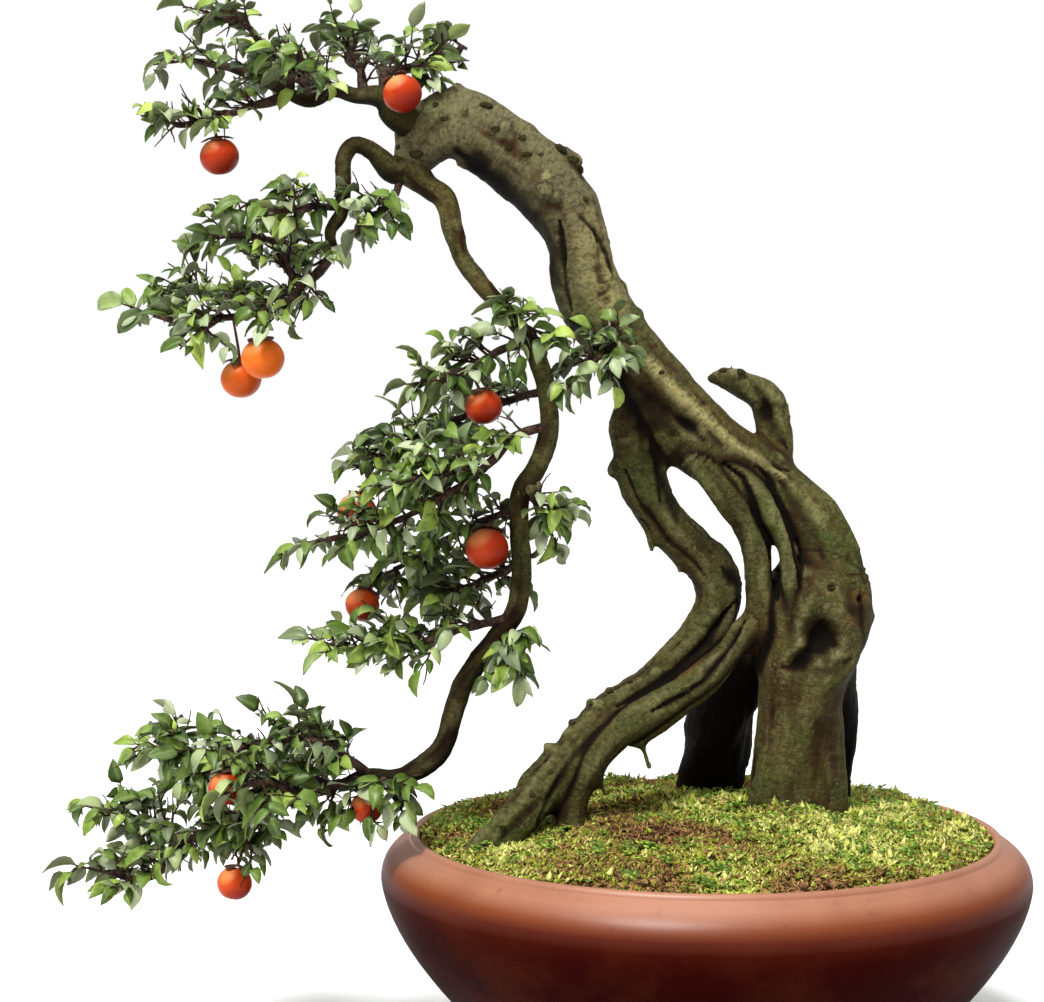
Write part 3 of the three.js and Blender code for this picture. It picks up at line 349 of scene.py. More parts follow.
def make_patches_group():
    """Two colours mixed in soft patches."""
    tones = {"First": (0.2, 0.2, 0.2, 1), "Second": (0.6, 0.6, 0.6, 1)}
    values = {"Vector": None, "Scale": 40.0, "Low": 0.35, "High": 0.65, **tones}
    bench, given = new_group("soft_patches", values)
    noise = bench.node("TexNoise", "Fac", {
        "Vector": given["Vector"], "Scale": given["Scale"], "Detail": 6, "Roughness": 0.6,
    })
    limits = {"Value": noise, "From Min": given["Low"], "From Max": given["High"]}
    colours = {"Factor": bench.node("MapRange", "Result", limits), "A": given["First"], "B": given["Second"]}
    return put_out(bench, "Color", bench.node("Mix", "Result", colours, data_type="RGBA"))


def make_grain_group():
    """A height from a coarse and a fine noise, stretched as the coordinates are."""
    bench, given = new_group("surface_grain", {
        "Vector": None, "Coarse": 200.0, "Fine": 900.0, "Fine Share": 0.4,
    })
    coarse, fine = (
        bench.node("TexNoise", "Fac", {"Vector": given["Vector"], "Scale": given[label], "Detail": detail})
        for label, detail in (("Coarse", 4), ("Fine", 3))
    )
    heights = {"Factor": given["Fine Share"], "A": coarse, "B": fine}
    return put_out(bench, "Height", bench.node("Mix", "Result", heights))


def make_cracks_group():
    """A mask that is 1 along the thin winding lines where a noise passes its middle."""
    bench, given = new_group("winding_cracks", {"Vector": None, "Scale": 120.0, "Width": 0.03})
    noise = bench.node("TexNoise", "Fac", {"Vector": given["Vector"], "Scale": given["Scale"], "Detail": 3})
    shifted = bench.node("Math", "Value", {0: noise, 1: 0.5}, operation="SUBTRACT")
    apart = bench.node("Math", "Value", {0: shifted}, operation="ABSOLUTE")
    limits = {"Value": apart, "From Max": given["Width"], "To Min": 1, "To Max": 0}
    return put_out(bench, "Mask", bench.node("MapRange", "Result", limits))


SOFT_PATCHES = make_patches_group()
SURFACE_GRAIN = make_grain_group()
WINDING_CRACKS = make_cracks_group()
print("node groups:", SOFT_PATCHES.name, SURFACE_GRAIN.name, WINDING_CRACKS.name)


# %% Helpers for materials
class Finish(Bench):
    """A material under construction, with its shader and short calls for its layers."""

    def __init__(self, name, roughness, specular=0.5):
        self.material = bpy.data.materials.new(name)
        self.material.use_nodes = True
        super().__init__(self.material.node_tree)
        self.shader = self.tree.nodes["Principled BSDF"].inputs
        self.shader["Roughness"].default_value = roughness
        self.shader["Specular IOR Level"].default_value = specular

    def value_of(self, attribute, output="Fac"):
        """A value that is stored on the mesh."""
        return self.node("Attribute", output, attribute_name=attribute)

    def place_of(self, stretch=(1, 1, 1), attribute=None):
        """Object coordinates, or a stored vector, stretched by a Mapping node."""
        source = self.value_of(attribute, "Vector") if attribute else self.node("TexCoord", "Object")
        return self.node("Mapping", "Vector", {"Vector": source, "Scale": stretch})

    def patches(self, vector, scale, first, second, low=0.35, high=0.65):
        """Two colours in soft patches. A colour is a triple or another output."""
        return self.node("Group", "Color", {
            "Vector": vector, "Scale": scale, "Low": low, "High": high, "First": first, "Second": second,
        }, node_tree=SOFT_PATCHES)

    def spread_of(self, value, low, high):
        """A value brought from its own limits to 0 and 1."""
        return self.node("MapRange", "Result", {"Value": value, "From Min": low, "From Max": high})

    def tinted(self, mask, under, over, low=0.0, high=1.0):
        """The colour over is laid on the colour under where the mask is high."""
        colours = {"Factor": self.spread_of(mask, low, high), "A": under, "B": over}
        return self.node("Mix", "Result", colours, data_type="RGBA")

    def layered(self, colour, layers):
        """A colour under layers of (where, colour, low, high): where is a stored value or (place, scale)."""
        for where, over, low, high in layers:
            if isinstance(where, str):
                colour = self.tinted(self.value_of(where), colour, over, low, high)
            else:
                colour = self.patches(*where, colour, over, low, high)
        return colour

    def cracks(self, vector, scale, width, depth):
        """The mask of winding cracks, which also cut into the surface."""
        values = {"Vector": vector, "Scale": scale, "Width": width}
        mask = self.node("Group", "Mask", values, node_tree=WINDING_CRACKS)
        self.bump(mask, -depth)
        return mask

    def ramp(self, value, stops):
        """A colour looked up by a value from stops of (place, colour)."""
        colour = self.node("ValToRGB", "Color", {"Fac": value})
        elements = colour.node.color_ramp.elements
        while len(elements) < len(stops):
            elements.new(0.5)
        for element, (position, tone) in zip(elements, stops):
            element.position = position
            element.color = (*tone, 1)
        return colour

    def paint(self, colour):
        """Sends a colour to the shader."""
        self.feed(colour, self.shader["Base Color"])

    def grain(self, vector, coarse, fine, fine_share, depth):
        """Bump from the shared grain, with its depth in metres."""
        values = {"Vector": vector, "Coarse": coarse, "Fine": fine, "Fine Share": fine_share}
        self.bump(self.node("Group", "Height", values, node_tree=SURFACE_GRAIN), depth)

    def bump(self, height, depth):
        """Adds a bump over what already feeds the shader's normal."""
        normal = self.shader["Normal"]
        values = {"Distance": abs(depth), "Height": height}
        if normal.is_linked:
            values["Normal"] = normal.links[0].from_socket
        self.feed(self.node("Bump", "Normal", values, invert=depth < 0), normal)

    def roughen(self, vector, scale, low, high):
        """Roughness that drifts between two values."""
        noise = self.node("TexNoise", "Fac", {"Vector": vector, "Scale": scale})
        drift = {"Value": noise, "To Min": low, "To Max": high}
        self.feed(self.node("MapRange", "Result", drift), self.shader["Roughness"])


def two_tone(name, roughness, specular, scale, first, second, grain=None):
    """A finish of two colours in soft patches, with a grain of (coarse, fine, fine share, depth)."""
    finish = Finish(name, roughness, specular)
    whole = finish.place_of()
    finish.paint(finish.patches(whole, scale, first, second))
    if grain:
        finish.grain(whole, *grain)
    return finish


# %% Helpers for pieces
def pick_only(*objects):
    """Selects these objects alone and makes the first one active."""
    bpy.ops.object.select_all(action="DESELECT")
    for item in objects:
        item.select_set(True)
    bpy.context.view_layer.objects.active = objects[0]


def start_from(add_primitive, **settings):
    """A primitive to be shaped, with nothing else selected."""
    bpy.ops.object.select_all(action="DESELECT")
    add_primitive(**settings)
    return bpy.context.object


def apply_modifier(piece, kind, name, **settings):
    """Adds a modifier, sets it and applies it."""
    pick_only(piece)
    modifier = piece.modifiers.new(name, kind)
    for key, value in settings.items():
        setattr(modifier, key, value)
    bpy.ops.object.modifier_apply(modifier=name)


def recoat(piece, finish):
    """Gives a piece or a CAD node this finish alone."""
    piece.data.materials.clear()
    piece.data.materials.append(finish.material)


def piece_from(name, points, faces, finish=None):
    """A new smooth piece from arrays of points and faces."""
    mesh = bpy.data.meshes.new(name)
    mesh.from_pydata(np.asarray(points).tolist(), [], faces)
    mesh.update()
    mesh.shade_smooth()
    piece = bpy.data.objects.new(name, mesh)
    bpy.context.collection.objects.link(piece)
    if finish:
        recoat(piece, finish)
    return piece


def vectors_of(mesh, label="co"):
    """The places or the normals of a mesh's points as rows."""
    flat = np.empty(len(mesh.vertices) * 3)
    mesh.vertices.foreach_get(label, flat)
    return flat.reshape(-1, 3)


def faces_of(mesh):
    """The faces of a mesh as rows of point numbers."""
    return [tuple(face.vertices) for face in mesh.polygons]


def tree_of(mesh):
    """A mesh made ready for rays and for the nearest place on it."""
    return BVHTree.FromPolygons(vectors_of(mesh).tolist(), faces_of(mesh))


def turned(points, angle, axis):
    """Points turned about an axis through the origin."""
    return points @ np.array(Matrix.Rotation(angle, 3, axis)).T


def facing(axis):
    """The matrix that turns rows of points so that their Z axis lies along this axis."""
    return np.array(axis.to_track_quat("Z", "Y").to_matrix()).T


def fading(distance, reach):
    """1 where the distance is 0, and nearly 0 from two reaches on."""
    return np.exp(-((distance / reach) ** 2))


def store(piece, name, values, kind="FLOAT"):
    """Stores a value or a vector for each point under a name, for a material to read."""
    attribute = piece.data.attributes.new(name, kind, "POINT")
    slot = "vector" if kind == "FLOAT_VECTOR" else "value"
    attribute.data.foreach_set(slot, np.asarray(values, np.float32).ravel())


def dress(piece, slot, *nodes):
    """The finished piece rides on the one body and stands for its nodes."""
    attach(piece, "root")
    if nodes:
        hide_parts(*nodes)
    piece.data.calc_loop_triangles()
    print(piece.name, len(piece.data.loop_triangles), "triangles")


# %% [markdown]
# ## Pot
# The pot is a round bowl with a wide turned-in shoulder and a low rolled rim, thrown on a wheel and
# burnished. It could be a cylinder shaped ring by ring, but a half section spun round the axis is how a
# potter thinks of it and gives a perfect round. The drain holes are then cut through its floor.

# %% Pot section
POT_FOOT_RADIUS, POT_FOOT_BEVEL = 0.106, (0.006, 0.004)
POT_WIDEST_RADIUS, POT_WIDEST_HEIGHT = 0.195, 0.112
POT_RIM_RADIUS, POT_HEIGHT, POT_RIM_ROLL = 0.178, 0.139, 0.0032
POT_WALL, POT_FLOOR = 0.009, 0.012
DRAIN_HOLE_RADIUS, DRAIN_CIRCLE_RADIUS, DRAIN_COUNT = 0.009, 0.050, 3
POT_STEPS, OUTSIDE_STEPS, INSIDE_STEPS = 144, 22, 14
# How far the handles of the wall's two curves stand off their ends, outwards and upwards.
BELLY_LEAVE, BELLY_ARRIVE = (0.028, 0.018), (-0.004, -0.038)
SHOULDER_LEAVE, SHOULDER_ARRIVE = (0, 0.014), (0.008, -0.005)


def bezier(start, leave, arrive, end, count):
    """Points of a curve with two handles, without its first point."""
    t = np.linspace(0, 1, count + 1)[1:, None]
    return (1 - t) ** 3 * start + 3 * t * (1 - t) ** 2 * leave + 3 * t**2 * (1 - t) * arrive + t**3 * end


def bowl_side(foot, floor_height, widest, rim, rim_height, count):
    """The wall of a bowl from its foot over the belly and the shoulder to the rim."""
    low, middle, high = (
        np.array(end) for end in ((foot, floor_height), (widest, POT_WIDEST_HEIGHT), (rim, rim_height))
    )
    belly = bezier(low, low + BELLY_LEAVE, middle + BELLY_ARRIVE, middle, count)
    shoulder = bezier(middle, middle + SHOULDER_LEAVE, high + SHOULDER_ARRIVE, high, count)
    return np.vstack([low, belly, shoulder])


outside = bowl_side(
    POT_FOOT_RADIUS + POT_FOOT_BEVEL[0], POT_FOOT_BEVEL[1], POT_WIDEST_RADIUS, POT_RIM_RADIUS,
    POT_HEIGHT - POT_RIM_ROLL, OUTSIDE_STEPS,
)
inside = bowl_side(
    POT_FOOT_RADIUS, POT_FLOOR, POT_WIDEST_RADIUS - POT_WALL, POT_RIM_RADIUS - 2 * POT_RIM_ROLL,
    POT_HEIGHT - POT_RIM_ROLL, INSIDE_STEPS,
)
roll_angles = np.linspace(0, math.pi, 7)[1:-1]
rim_roll = np.column_stack([
    POT_RIM_RADIUS - POT_RIM_ROLL + POT_RIM_ROLL * np.cos(roll_angles),
    POT_HEIGHT - POT_RIM_ROLL + POT_RIM_ROLL * np.sin(roll_angles),
])
pot_section = np.vstack([
    [(0, 0), (POT_FOOT_RADIUS * 0.5, 0), (POT_FOOT_RADIUS, 0)],
    outside, rim_roll, inside[::-1], [(0, POT_FLOOR)],
])
print("pot section:", len(pot_section), "points")


# %% Pot spun and drilled
def spun_section(name, section, steps):
    """A closed round body from a half section that starts and ends on the axis."""
    points = [(radius, 0, height) for radius, height in section]
    edges = [(i, i + 1) for i in range(len(points) - 1)]
    mesh = bpy.data.meshes.new(name)
    mesh.from_pydata(points, edges, [])
    piece = bpy.data.objects.new(name, mesh)
    bpy.context.collection.objects.link(piece)
    pick_only(piece)
    bpy.ops.object.mode_set(mode="EDIT")
    bpy.ops.mesh.select_all(action="SELECT")
    bpy.ops.mesh.spin(steps=steps, angle=2 * math.pi, center=(0, 0, 0), axis=(0, 0, 1))
    bpy.ops.mesh.select_all(action="SELECT")
    bpy.ops.mesh.remove_doubles(threshold=1e-6)
    bpy.ops.mesh.normals_make_consistent(inside=False)
    bpy.ops.object.mode_set(mode="OBJECT")
    return piece


pot = spun_section("burnished_pot", pot_section, POT_STEPS)
for i in range(DRAIN_COUNT):
    angle = math.pi / 2 + 2 * math.pi * i / DRAIN_COUNT
    drill = start_from(
        bpy.ops.mesh.primitive_cylinder_add, vertices=32, radius=DRAIN_HOLE_RADIUS, depth=0.05,
        location=(math.cos(angle) * DRAIN_CIRCLE_RADIUS, math.sin(angle) * DRAIN_CIRCLE_RADIUS, 0),
    )
    apply_modifier(pot, "BOOLEAN", "drain", operation="DIFFERENCE", object=drill, solver="EXACT")
    bpy.data.objects.remove(drill)
pick_only(pot)
bpy.ops.object.shade_smooth_by_angle(angle=math.radians(40))

# %% [markdown]
# ### Burnished clay
# The clay is fired to a reddish brown and rubbed until its shoulder shines softly. Its colour follows the
# height as painted light and shade: a lighter, paler brick red on the shoulder and rim is a painted
# highlight, and a dark matt maroon below the belly is painted shade. Faint throwing lines run round it.

# %% Clay finish
# Clay colours by height: the dark maroon low stops are painted shade, the light top stops a painted
# highlight.
CLAY_COLOURS = [
    (0.0, (0.018, 0.0009, 0.0007)), (0.30, (0.024, 0.0012, 0.0008)), (0.44, (0.036, 0.0030, 0.0012)),
    (0.57, (0.070, 0.0070, 0.0010)), (0.70, (0.175, 0.038, 0.009)), (0.84, (0.330, 0.130, 0.068)),
    (1.0, (0.350, 0.150, 0.085)),
]
CLAY_LIGHT_FADE, CLAY_SHINE = (0.085, 0.140), (0.110, 0.132)

clay = Finish("burnished_clay", roughness=0.45, specular=0.01)
clay.shader["Coat Roughness"].default_value = 0.42
clay_whole = clay.place_of()
clay_height = clay.node("SeparateXYZ", "Z", {"Vector": clay_whole})
# Painted shade towards the foot and a painted highlight on the shoulder and rim, by height.
clay_red_painted_light = clay.ramp(clay.spread_of(clay_height, *CLAY_LIGHT_FADE), CLAY_COLOURS)
clay.paint(clay.layered(clay_red_painted_light, [
    ((clay_whole, 14), (0.110, 0.022, 0.006), 0.48, 1.3),
    ((clay_whole, 150), (0.040, 0.008, 0.003), 0.6, 1.1),
]))
clay.feed(clay.spread_of(clay_height, *CLAY_SHINE), clay.shader["Coat Weight"])
clay.grain(clay.place_of(stretch=(0.25, 0.25, 3)), 60, 420, 0.25, 0.0006)
clay.grain(clay_whole, 350, 1500, 0.5, 0.0002)
clay.roughen(clay_whole, 30, 0.40, 0.55)
recoat(pot, clay)
dress(pot, "pot", "pot")

# %% [markdown]
# ## Old wood
# The trunk is many limbs grown together: strands fuse, leave holes between them and wrinkle where they
# bend. It could be sculpted from one block, or drawn limb by limb and fused. Here each limb is a curve
# with a lobed section, and one voxel remesh grows them into a single skin, which is then carved.

# %% Soft noise and limb frames
CORNERS = [(i, j, k) for i in (0, 1) for j in (0, 1) for k in (0, 1)]
NOISE_SEED, NOISE_SIZE, OCTAVE_SHIFT = 11, 256, 31.7
chance = np.random.default_rng(NOISE_SEED)
SHUFFLE = chance.permutation(NOISE_SIZE)
HEIGHTS = chance.uniform(-1, 1, NOISE_SIZE)


def cloud(points, scale, octaves=3):
    """Soft noise from about -1 to 1 at each point. Scale is the number of waves per metre."""
    total = np.zeros(len(points))
    for octave in range(octaves):
        position = np.asarray(points) * scale * 2**octave + OCTAVE_SHIFT * octave
        cell = np.floor(position).astype(int)
        part = position - cell
        part = part * part * (3 - 2 * part)
        for corner in CORNERS:
            key = 0
            for axis in range(3):
                key = SHUFFLE[(key + cell[:, axis] + corner[axis]) % NOISE_SIZE]
            weight = np.prod(np.where(corner, part, 1 - part), axis=1)
            total += weight * HEIGHTS[key] / 2**octave
    return total


def sway_of(points, step, scale):
    """Soft noise in three directions at each point."""
    return np.column_stack([cloud(points + step * k, scale, 2) for k in range(3)])


def frames_of(points):
    """Tangents, sides and lifts along a route, which turn no more than the route does."""
    tangents = np.gradient(points, axis=0)
    tangents /= np.linalg.norm(tangents, axis=1, keepdims=True)
    side = np.array([0.0, 1.0, 0.0])
    sides = []
    for tangent in tangents:
        if abs(tangent @ side) > 0.95:
            side = np.array([1.0, 0.0, 0.0])
        side = side - (side @ tangent) * tangent
        side /= np.linalg.norm(side)
        sides.append(side)
    sides = np.array(sides)
    return tangents, sides, np.cross(tangents, sides)


def walked_along(points):
    """How far along a route each of its points is."""
    return np.concatenate([[0], np.cumsum(np.linalg.norm(np.diff(points, axis=0), axis=1))])


def even_shares(stations, pitch, until=1.0):
    """Shares along a route that lie about a pitch apart."""
    count = max(3, round(route_length(stations) * until / pitch) + 1)
    dense = np.linspace(0, until, 400)
    walked = walked_along(points_along(stations, dense))
    return np.interp(np.linspace(0, walked[-1], count), walked, dense)


def bent_route(start, bend, end, count):
    """Points of a plain curve from start to end that is drawn towards the bend."""
    t = np.linspace(0, 1, count)[:, None]
    start, bend, end = (np.array(point) for point in (start, bend, end))
    return (1 - t) ** 2 * start + 2 * t * (1 - t) * bend + t**2 * end


# %% Limbs as curves with a lobed section
PROFILE_SIDES, LIMB_PITCH, LIMB_TWIST = 28, 0.006, 5
THIN_LIMBS = ["long_branch", "s_branch", "crown_limb"]
fused_light = {name: stations for name, stations in LIGHT_WOOD.items() if name not in THIN_LIMBS}
fused_limbs = {**HEAVY_WOOD, **fused_light, **DEADWOOD}
# The front strand is drawn in where a slit between it and the inner strand lets the light through, and the
# inner strand's buried end is laid on the root column's skin, so that it fades out over it.
SLIT_STATION, SLIT_DRAWN_IN = 4, [32.5, 289, -12, 8.6]
STRAND_END = [[52, 288, -20, 7.2], [53, 273, -22.5, 6.6], [54, 262, -23.5, 5]]
fused_limbs["front_strand"] = list(LIGHT_WOOD["front_strand"])
fused_limbs["front_strand"][SLIT_STATION] = SLIT_DRAWN_IN
fused_limbs["inner_strand"] = LIGHT_WOOD["inner_strand"][:-3] + STRAND_END


def section_curve(name, lobes):
    """A closed section of radius 1 with low lobes, given as (count, size, turn)."""
    turns = np.linspace(0, 2 * math.pi, PROFILE_SIDES, endpoint=False)
    reach = 1 + sum(size * np.cos(count * turns + turn) for count, size, turn in lobes)
    data = bpy.data.curves.new(name, "CURVE")
    spline = data.splines.new("POLY")
    spline.points.add(PROFILE_SIDES - 1)
    flat = np.column_stack([reach * np.cos(turns), reach * np.sin(turns), 0 * turns, 0 * turns + 1])
    spline.points.foreach_set("co", flat.ravel())
    spline.use_cyclic_u = True
    piece = bpy.data.objects.new(name, data)
    bpy.context.collection.objects.link(piece)
    return piece


LOBES = [(2, 0.05, 0.7), (3, 0.055, 0.0), (5, 0.03, 1.1)]
LIMB_SWELL, SWELL_WAVES = 0.05, 28
lobed = section_curve("lobed_section", LOBES)
limb_objects = []
for number, (name, stations) in enumerate(fused_limbs.items()):
    shares = even_shares(stations, LIMB_PITCH)
    centres = points_along(stations, shares)
    data = bpy.data.curves.new(name, "CURVE")
    data.dimensions = "3D"
    data.bevel_mode = "OBJECT"
    data.bevel_object = lobed
    data.use_fill_caps = True
    spline = data.splines.new("POLY")
    spline.points.add(len(shares) - 1)
    spline.points.foreach_set("co", np.column_stack([centres, np.ones(len(shares))]).ravel())
    radii = radii_along(stations, shares) * (1 + LIMB_SWELL * cloud(centres + number, SWELL_WAVES, 2))
    spline.points.foreach_set("radius", radii)
    spline.points.foreach_set("tilt", LIMB_TWIST * shares)
    limb_object = bpy.data.objects.new(name + "_limb", data)
    bpy.context.collection.objects.link(limb_object)
    limb_objects.append(limb_object)
print("limbs to fuse:", len(limb_objects))

# %% Buried roots and the fused skin
VOXEL = 0.0017
ROOT_HUB = np.array([0.050, 0, 0.118])
ROOT_REACH, ROOT_BEND_HEIGHT, ROOT_END_HEIGHT = 0.122, 0.098, 0.062
ROOT_COUNT, ROOT_TURN, ROOT_TAPER, ROOT_ROWS, ROOT_SIDES = 3, 0.5, (0.0145, 0.0038), 24, 14

pick_only(*limb_objects)
bpy.ops.object.convert(target="MESH")
pick_only(*limb_objects)
bpy.ops.object.join()
old_trunk = bpy.context.object
old_trunk.name = "old_trunk"


def tube_arrays(points, radii, sides):
    """Points and outward faces of a closed tube along a route."""
    rows = len(points)
    _, side, lift = frames_of(points)
    turns = np.linspace(0, 2 * math.pi, sides, endpoint=False)
    around = np.cos(turns)[None, :, None] * side[:, None] + np.sin(turns)[None, :, None] * lift[:, None]
    rings = points[:, None] + np.asarray(radii)[:, None, None] * around
    near, far = rows * sides, rows * sides + 1
    faces = []
    for row in range(rows - 1):
        for i in range(sides):
            j = (i + 1) % sides
            low, high = row * sides, (row + 1) * sides
            faces.append((low + i, low + j, high + j, high + i))
    for i in range(sides):
        j = (i + 1) % sides
        faces.append((near, j, i))
        faces.append((far, (rows - 1) * sides + i, (rows - 1) * sides + j))
    return np.vstack([rings.reshape(-1, 3), points[:1], points[-1:]]), faces


buried = []
for i in range(ROOT_COUNT):
    angle = ROOT_TURN + 2 * math.pi * i / ROOT_COUNT
    end = np.array([math.cos(angle) * ROOT_REACH, math.sin(angle) * ROOT_REACH, ROOT_END_HEIGHT])
    bend = (ROOT_HUB + end) / 2
    bend[2] = ROOT_BEND_HEIGHT
    route = bent_route(ROOT_HUB, bend, end, ROOT_ROWS)
    tube = tube_arrays(route, np.linspace(*ROOT_TAPER, ROOT_ROWS), ROOT_SIDES)
    buried.append(piece_from(f"buried_root_{i}", *tube))
pick_only(old_trunk, *buried)
bpy.ops.object.join()
bpy.data.objects.remove(lobed)
old_trunk.data.remesh_voxel_size = VOXEL
bpy.ops.object.voxel_remesh()
apply_modifier(old_trunk, "SMOOTH", "soften", factor=0.5, iterations=3)
print("fused skin:", len(old_trunk.data.vertices), "points")


# %% Straightened limb coordinates
BATCH, SAMPLE_PITCH = 4000, 0.004
SIDE_BY_SIDE, LIMB_SHIFT, PARALLEL_FROM, PARALLEL_OVER = 0.6, 0.31, 0.8, 0.15


def grain_samples(limbs):
    """Close samples of the limbs' centre lines with their frames, radii and walked lengths."""
    rows = []
    for number, stations in enumerate(limbs.values()):
        shares = even_shares(stations, SAMPLE_PITCH)
        centres = points_along(stations, shares)
        tangents, sides, lifts = frames_of(centres)
        about = [radii_along(stations, shares), walked_along(centres), np.full(len(shares), number)]
        rows.append(np.column_stack([centres, tangents, sides, lifts, *about]))
    return np.vstack(rows)


def straightened(points, samples):
    """For each point: its place if its limb were straight, its limb, how near a second limb comes, and how
    far the two run side by side."""
    centres, radii, limb = samples[:, :3], samples[:, 12], samples[:, 14].astype(int)
    best = np.zeros(len(points), int)
    crease, alike = np.zeros(len(points)), np.zeros(len(points))
    for start in range(0, len(points), BATCH):
        part = points[start : start + BATCH]
        apart = np.linalg.norm(part[:, None] - centres[None], axis=2) - radii[None]
        nearest = apart.argmin(axis=1)
        gap = apart[np.arange(len(part)), nearest]
        others = np.where(limb[None] == limb[nearest][:, None], 1.0, apart)
        best[start : start + BATCH] = nearest
        crease[start : start + BATCH] = others.min(axis=1) - gap
        second = others.argmin(axis=1)
        ways = samples[nearest, 3:6] * samples[second, 3:6]
        gap_way = centres[second] - centres[nearest]
        onward = np.abs((gap_way * samples[nearest, 3:6]).sum(axis=1))
        beside = onward / (np.linalg.norm(gap_way, axis=1) + 1e-9) < SIDE_BY_SIDE
        alike[start : start + BATCH] = np.abs(ways.sum(axis=1)) * beside
    found = samples[best]
    offset = points - found[:, :3]
    along = found[:, 13] + (offset * found[:, 3:6]).sum(axis=1)
    grain = np.column_stack([
        (offset * found[:, 6:9]).sum(axis=1), (offset * found[:, 9:12]).sum(axis=1), along,
    ])
    return grain + LIMB_SHIFT * found[:, 14:15], found[:, 14].astype(int), crease, alike


samples = grain_samples(fused_limbs)
mesh = old_trunk.data
skin = vectors_of(mesh)
grain, limb_of, crease, alike = straightened(skin, samples)
parallel = np.clip((alike - PARALLEL_FROM) / PARALLEL_OVER, 0, 1)
print("creases under 2 mm:", int((crease < 0.002).sum()))

# %% Fillets where limbs meet
FILLET, FILLET_ROUNDS = 0.009, 20
SOFT_JOINT, SOFT_JOINT_REACH = (54, 268, -28), (0.012, 0.014, 0.012)

edges = np.empty(len(mesh.edges) * 2, int)
mesh.edges.foreach_get("vertices", edges)
edges = edges.reshape(-1, 2)
links = np.bincount(edges.ravel(), minlength=len(skin))[:, None]


def averaged(values, rounds):
    """Values shared out between neighbours over a number of rounds."""
    for _ in range(rounds):
        columns = [
            np.bincount(edges[:, 0], column[edges[:, 1]], len(values))
            + np.bincount(edges[:, 1], column[edges[:, 0]], len(values))
            for column in values.T
        ]
        values = np.column_stack(columns) / links
    return values


fillet = fading(crease, FILLET) * (1 - 0.45 * parallel)
# The inner strand's lower end melts into the root column.
soft_joint = np.linalg.norm((skin - np.array(place(*SOFT_JOINT))) / SOFT_JOINT_REACH, axis=1)
fillet = np.maximum(fillet, 0.9 * fading(soft_joint, 1))[:, None]
for _ in range(FILLET_ROUNDS):
    skin = skin + fillet * (averaged(skin, 1) - skin)
mesh.vertices.foreach_set("co", skin.ravel())
mesh.update()
outward_of = vectors_of(mesh, "normal")
print("points in fillets:", int((fillet > 0.3).sum()))

# %% [markdown]
# ### Carving
# Hollows, furrows, ridges and knots were drawn over the front view, on the same plane as the stations.
# Each stroke moves the skin that the eye sees near it in or out, and notes how dark it is painted there as
# shade, how pale it is, for pale bark and painted highlight, and how rusty. Where nothing was drawn the
# noise in the limb's own grain makes wrinkles and lumps.

# %% Where the eye sees each point
def seen_from_front(points, normals, tree):
    """Front view places of the points in millimetres, and 1 where the eye sees them."""
    reach = EYE.y / (EYE.y - points[:, 1])
    ahead = np.array(EYE) + (points - np.array(EYE)) * reach[:, None]
    view = ahead[:, [0, 2]] / MM
    in_front = ((points - np.array(EYE)) * normals).sum(axis=1) < 0.0
    seen = np.zeros(len(points))
    for i in np.flatnonzero(in_front):
        target = Vector(points[i])
        way = target - EYE
        hit = tree.ray_cast(EYE, way.normalized(), way.length - 0.004)
        seen[i] = hit[0] is None
    return view, seen


skin_tree = tree_of(mesh)
view, seen = seen_from_front(skin, outward_of, skin_tree)
print("points in sight:", int(seen.sum()))
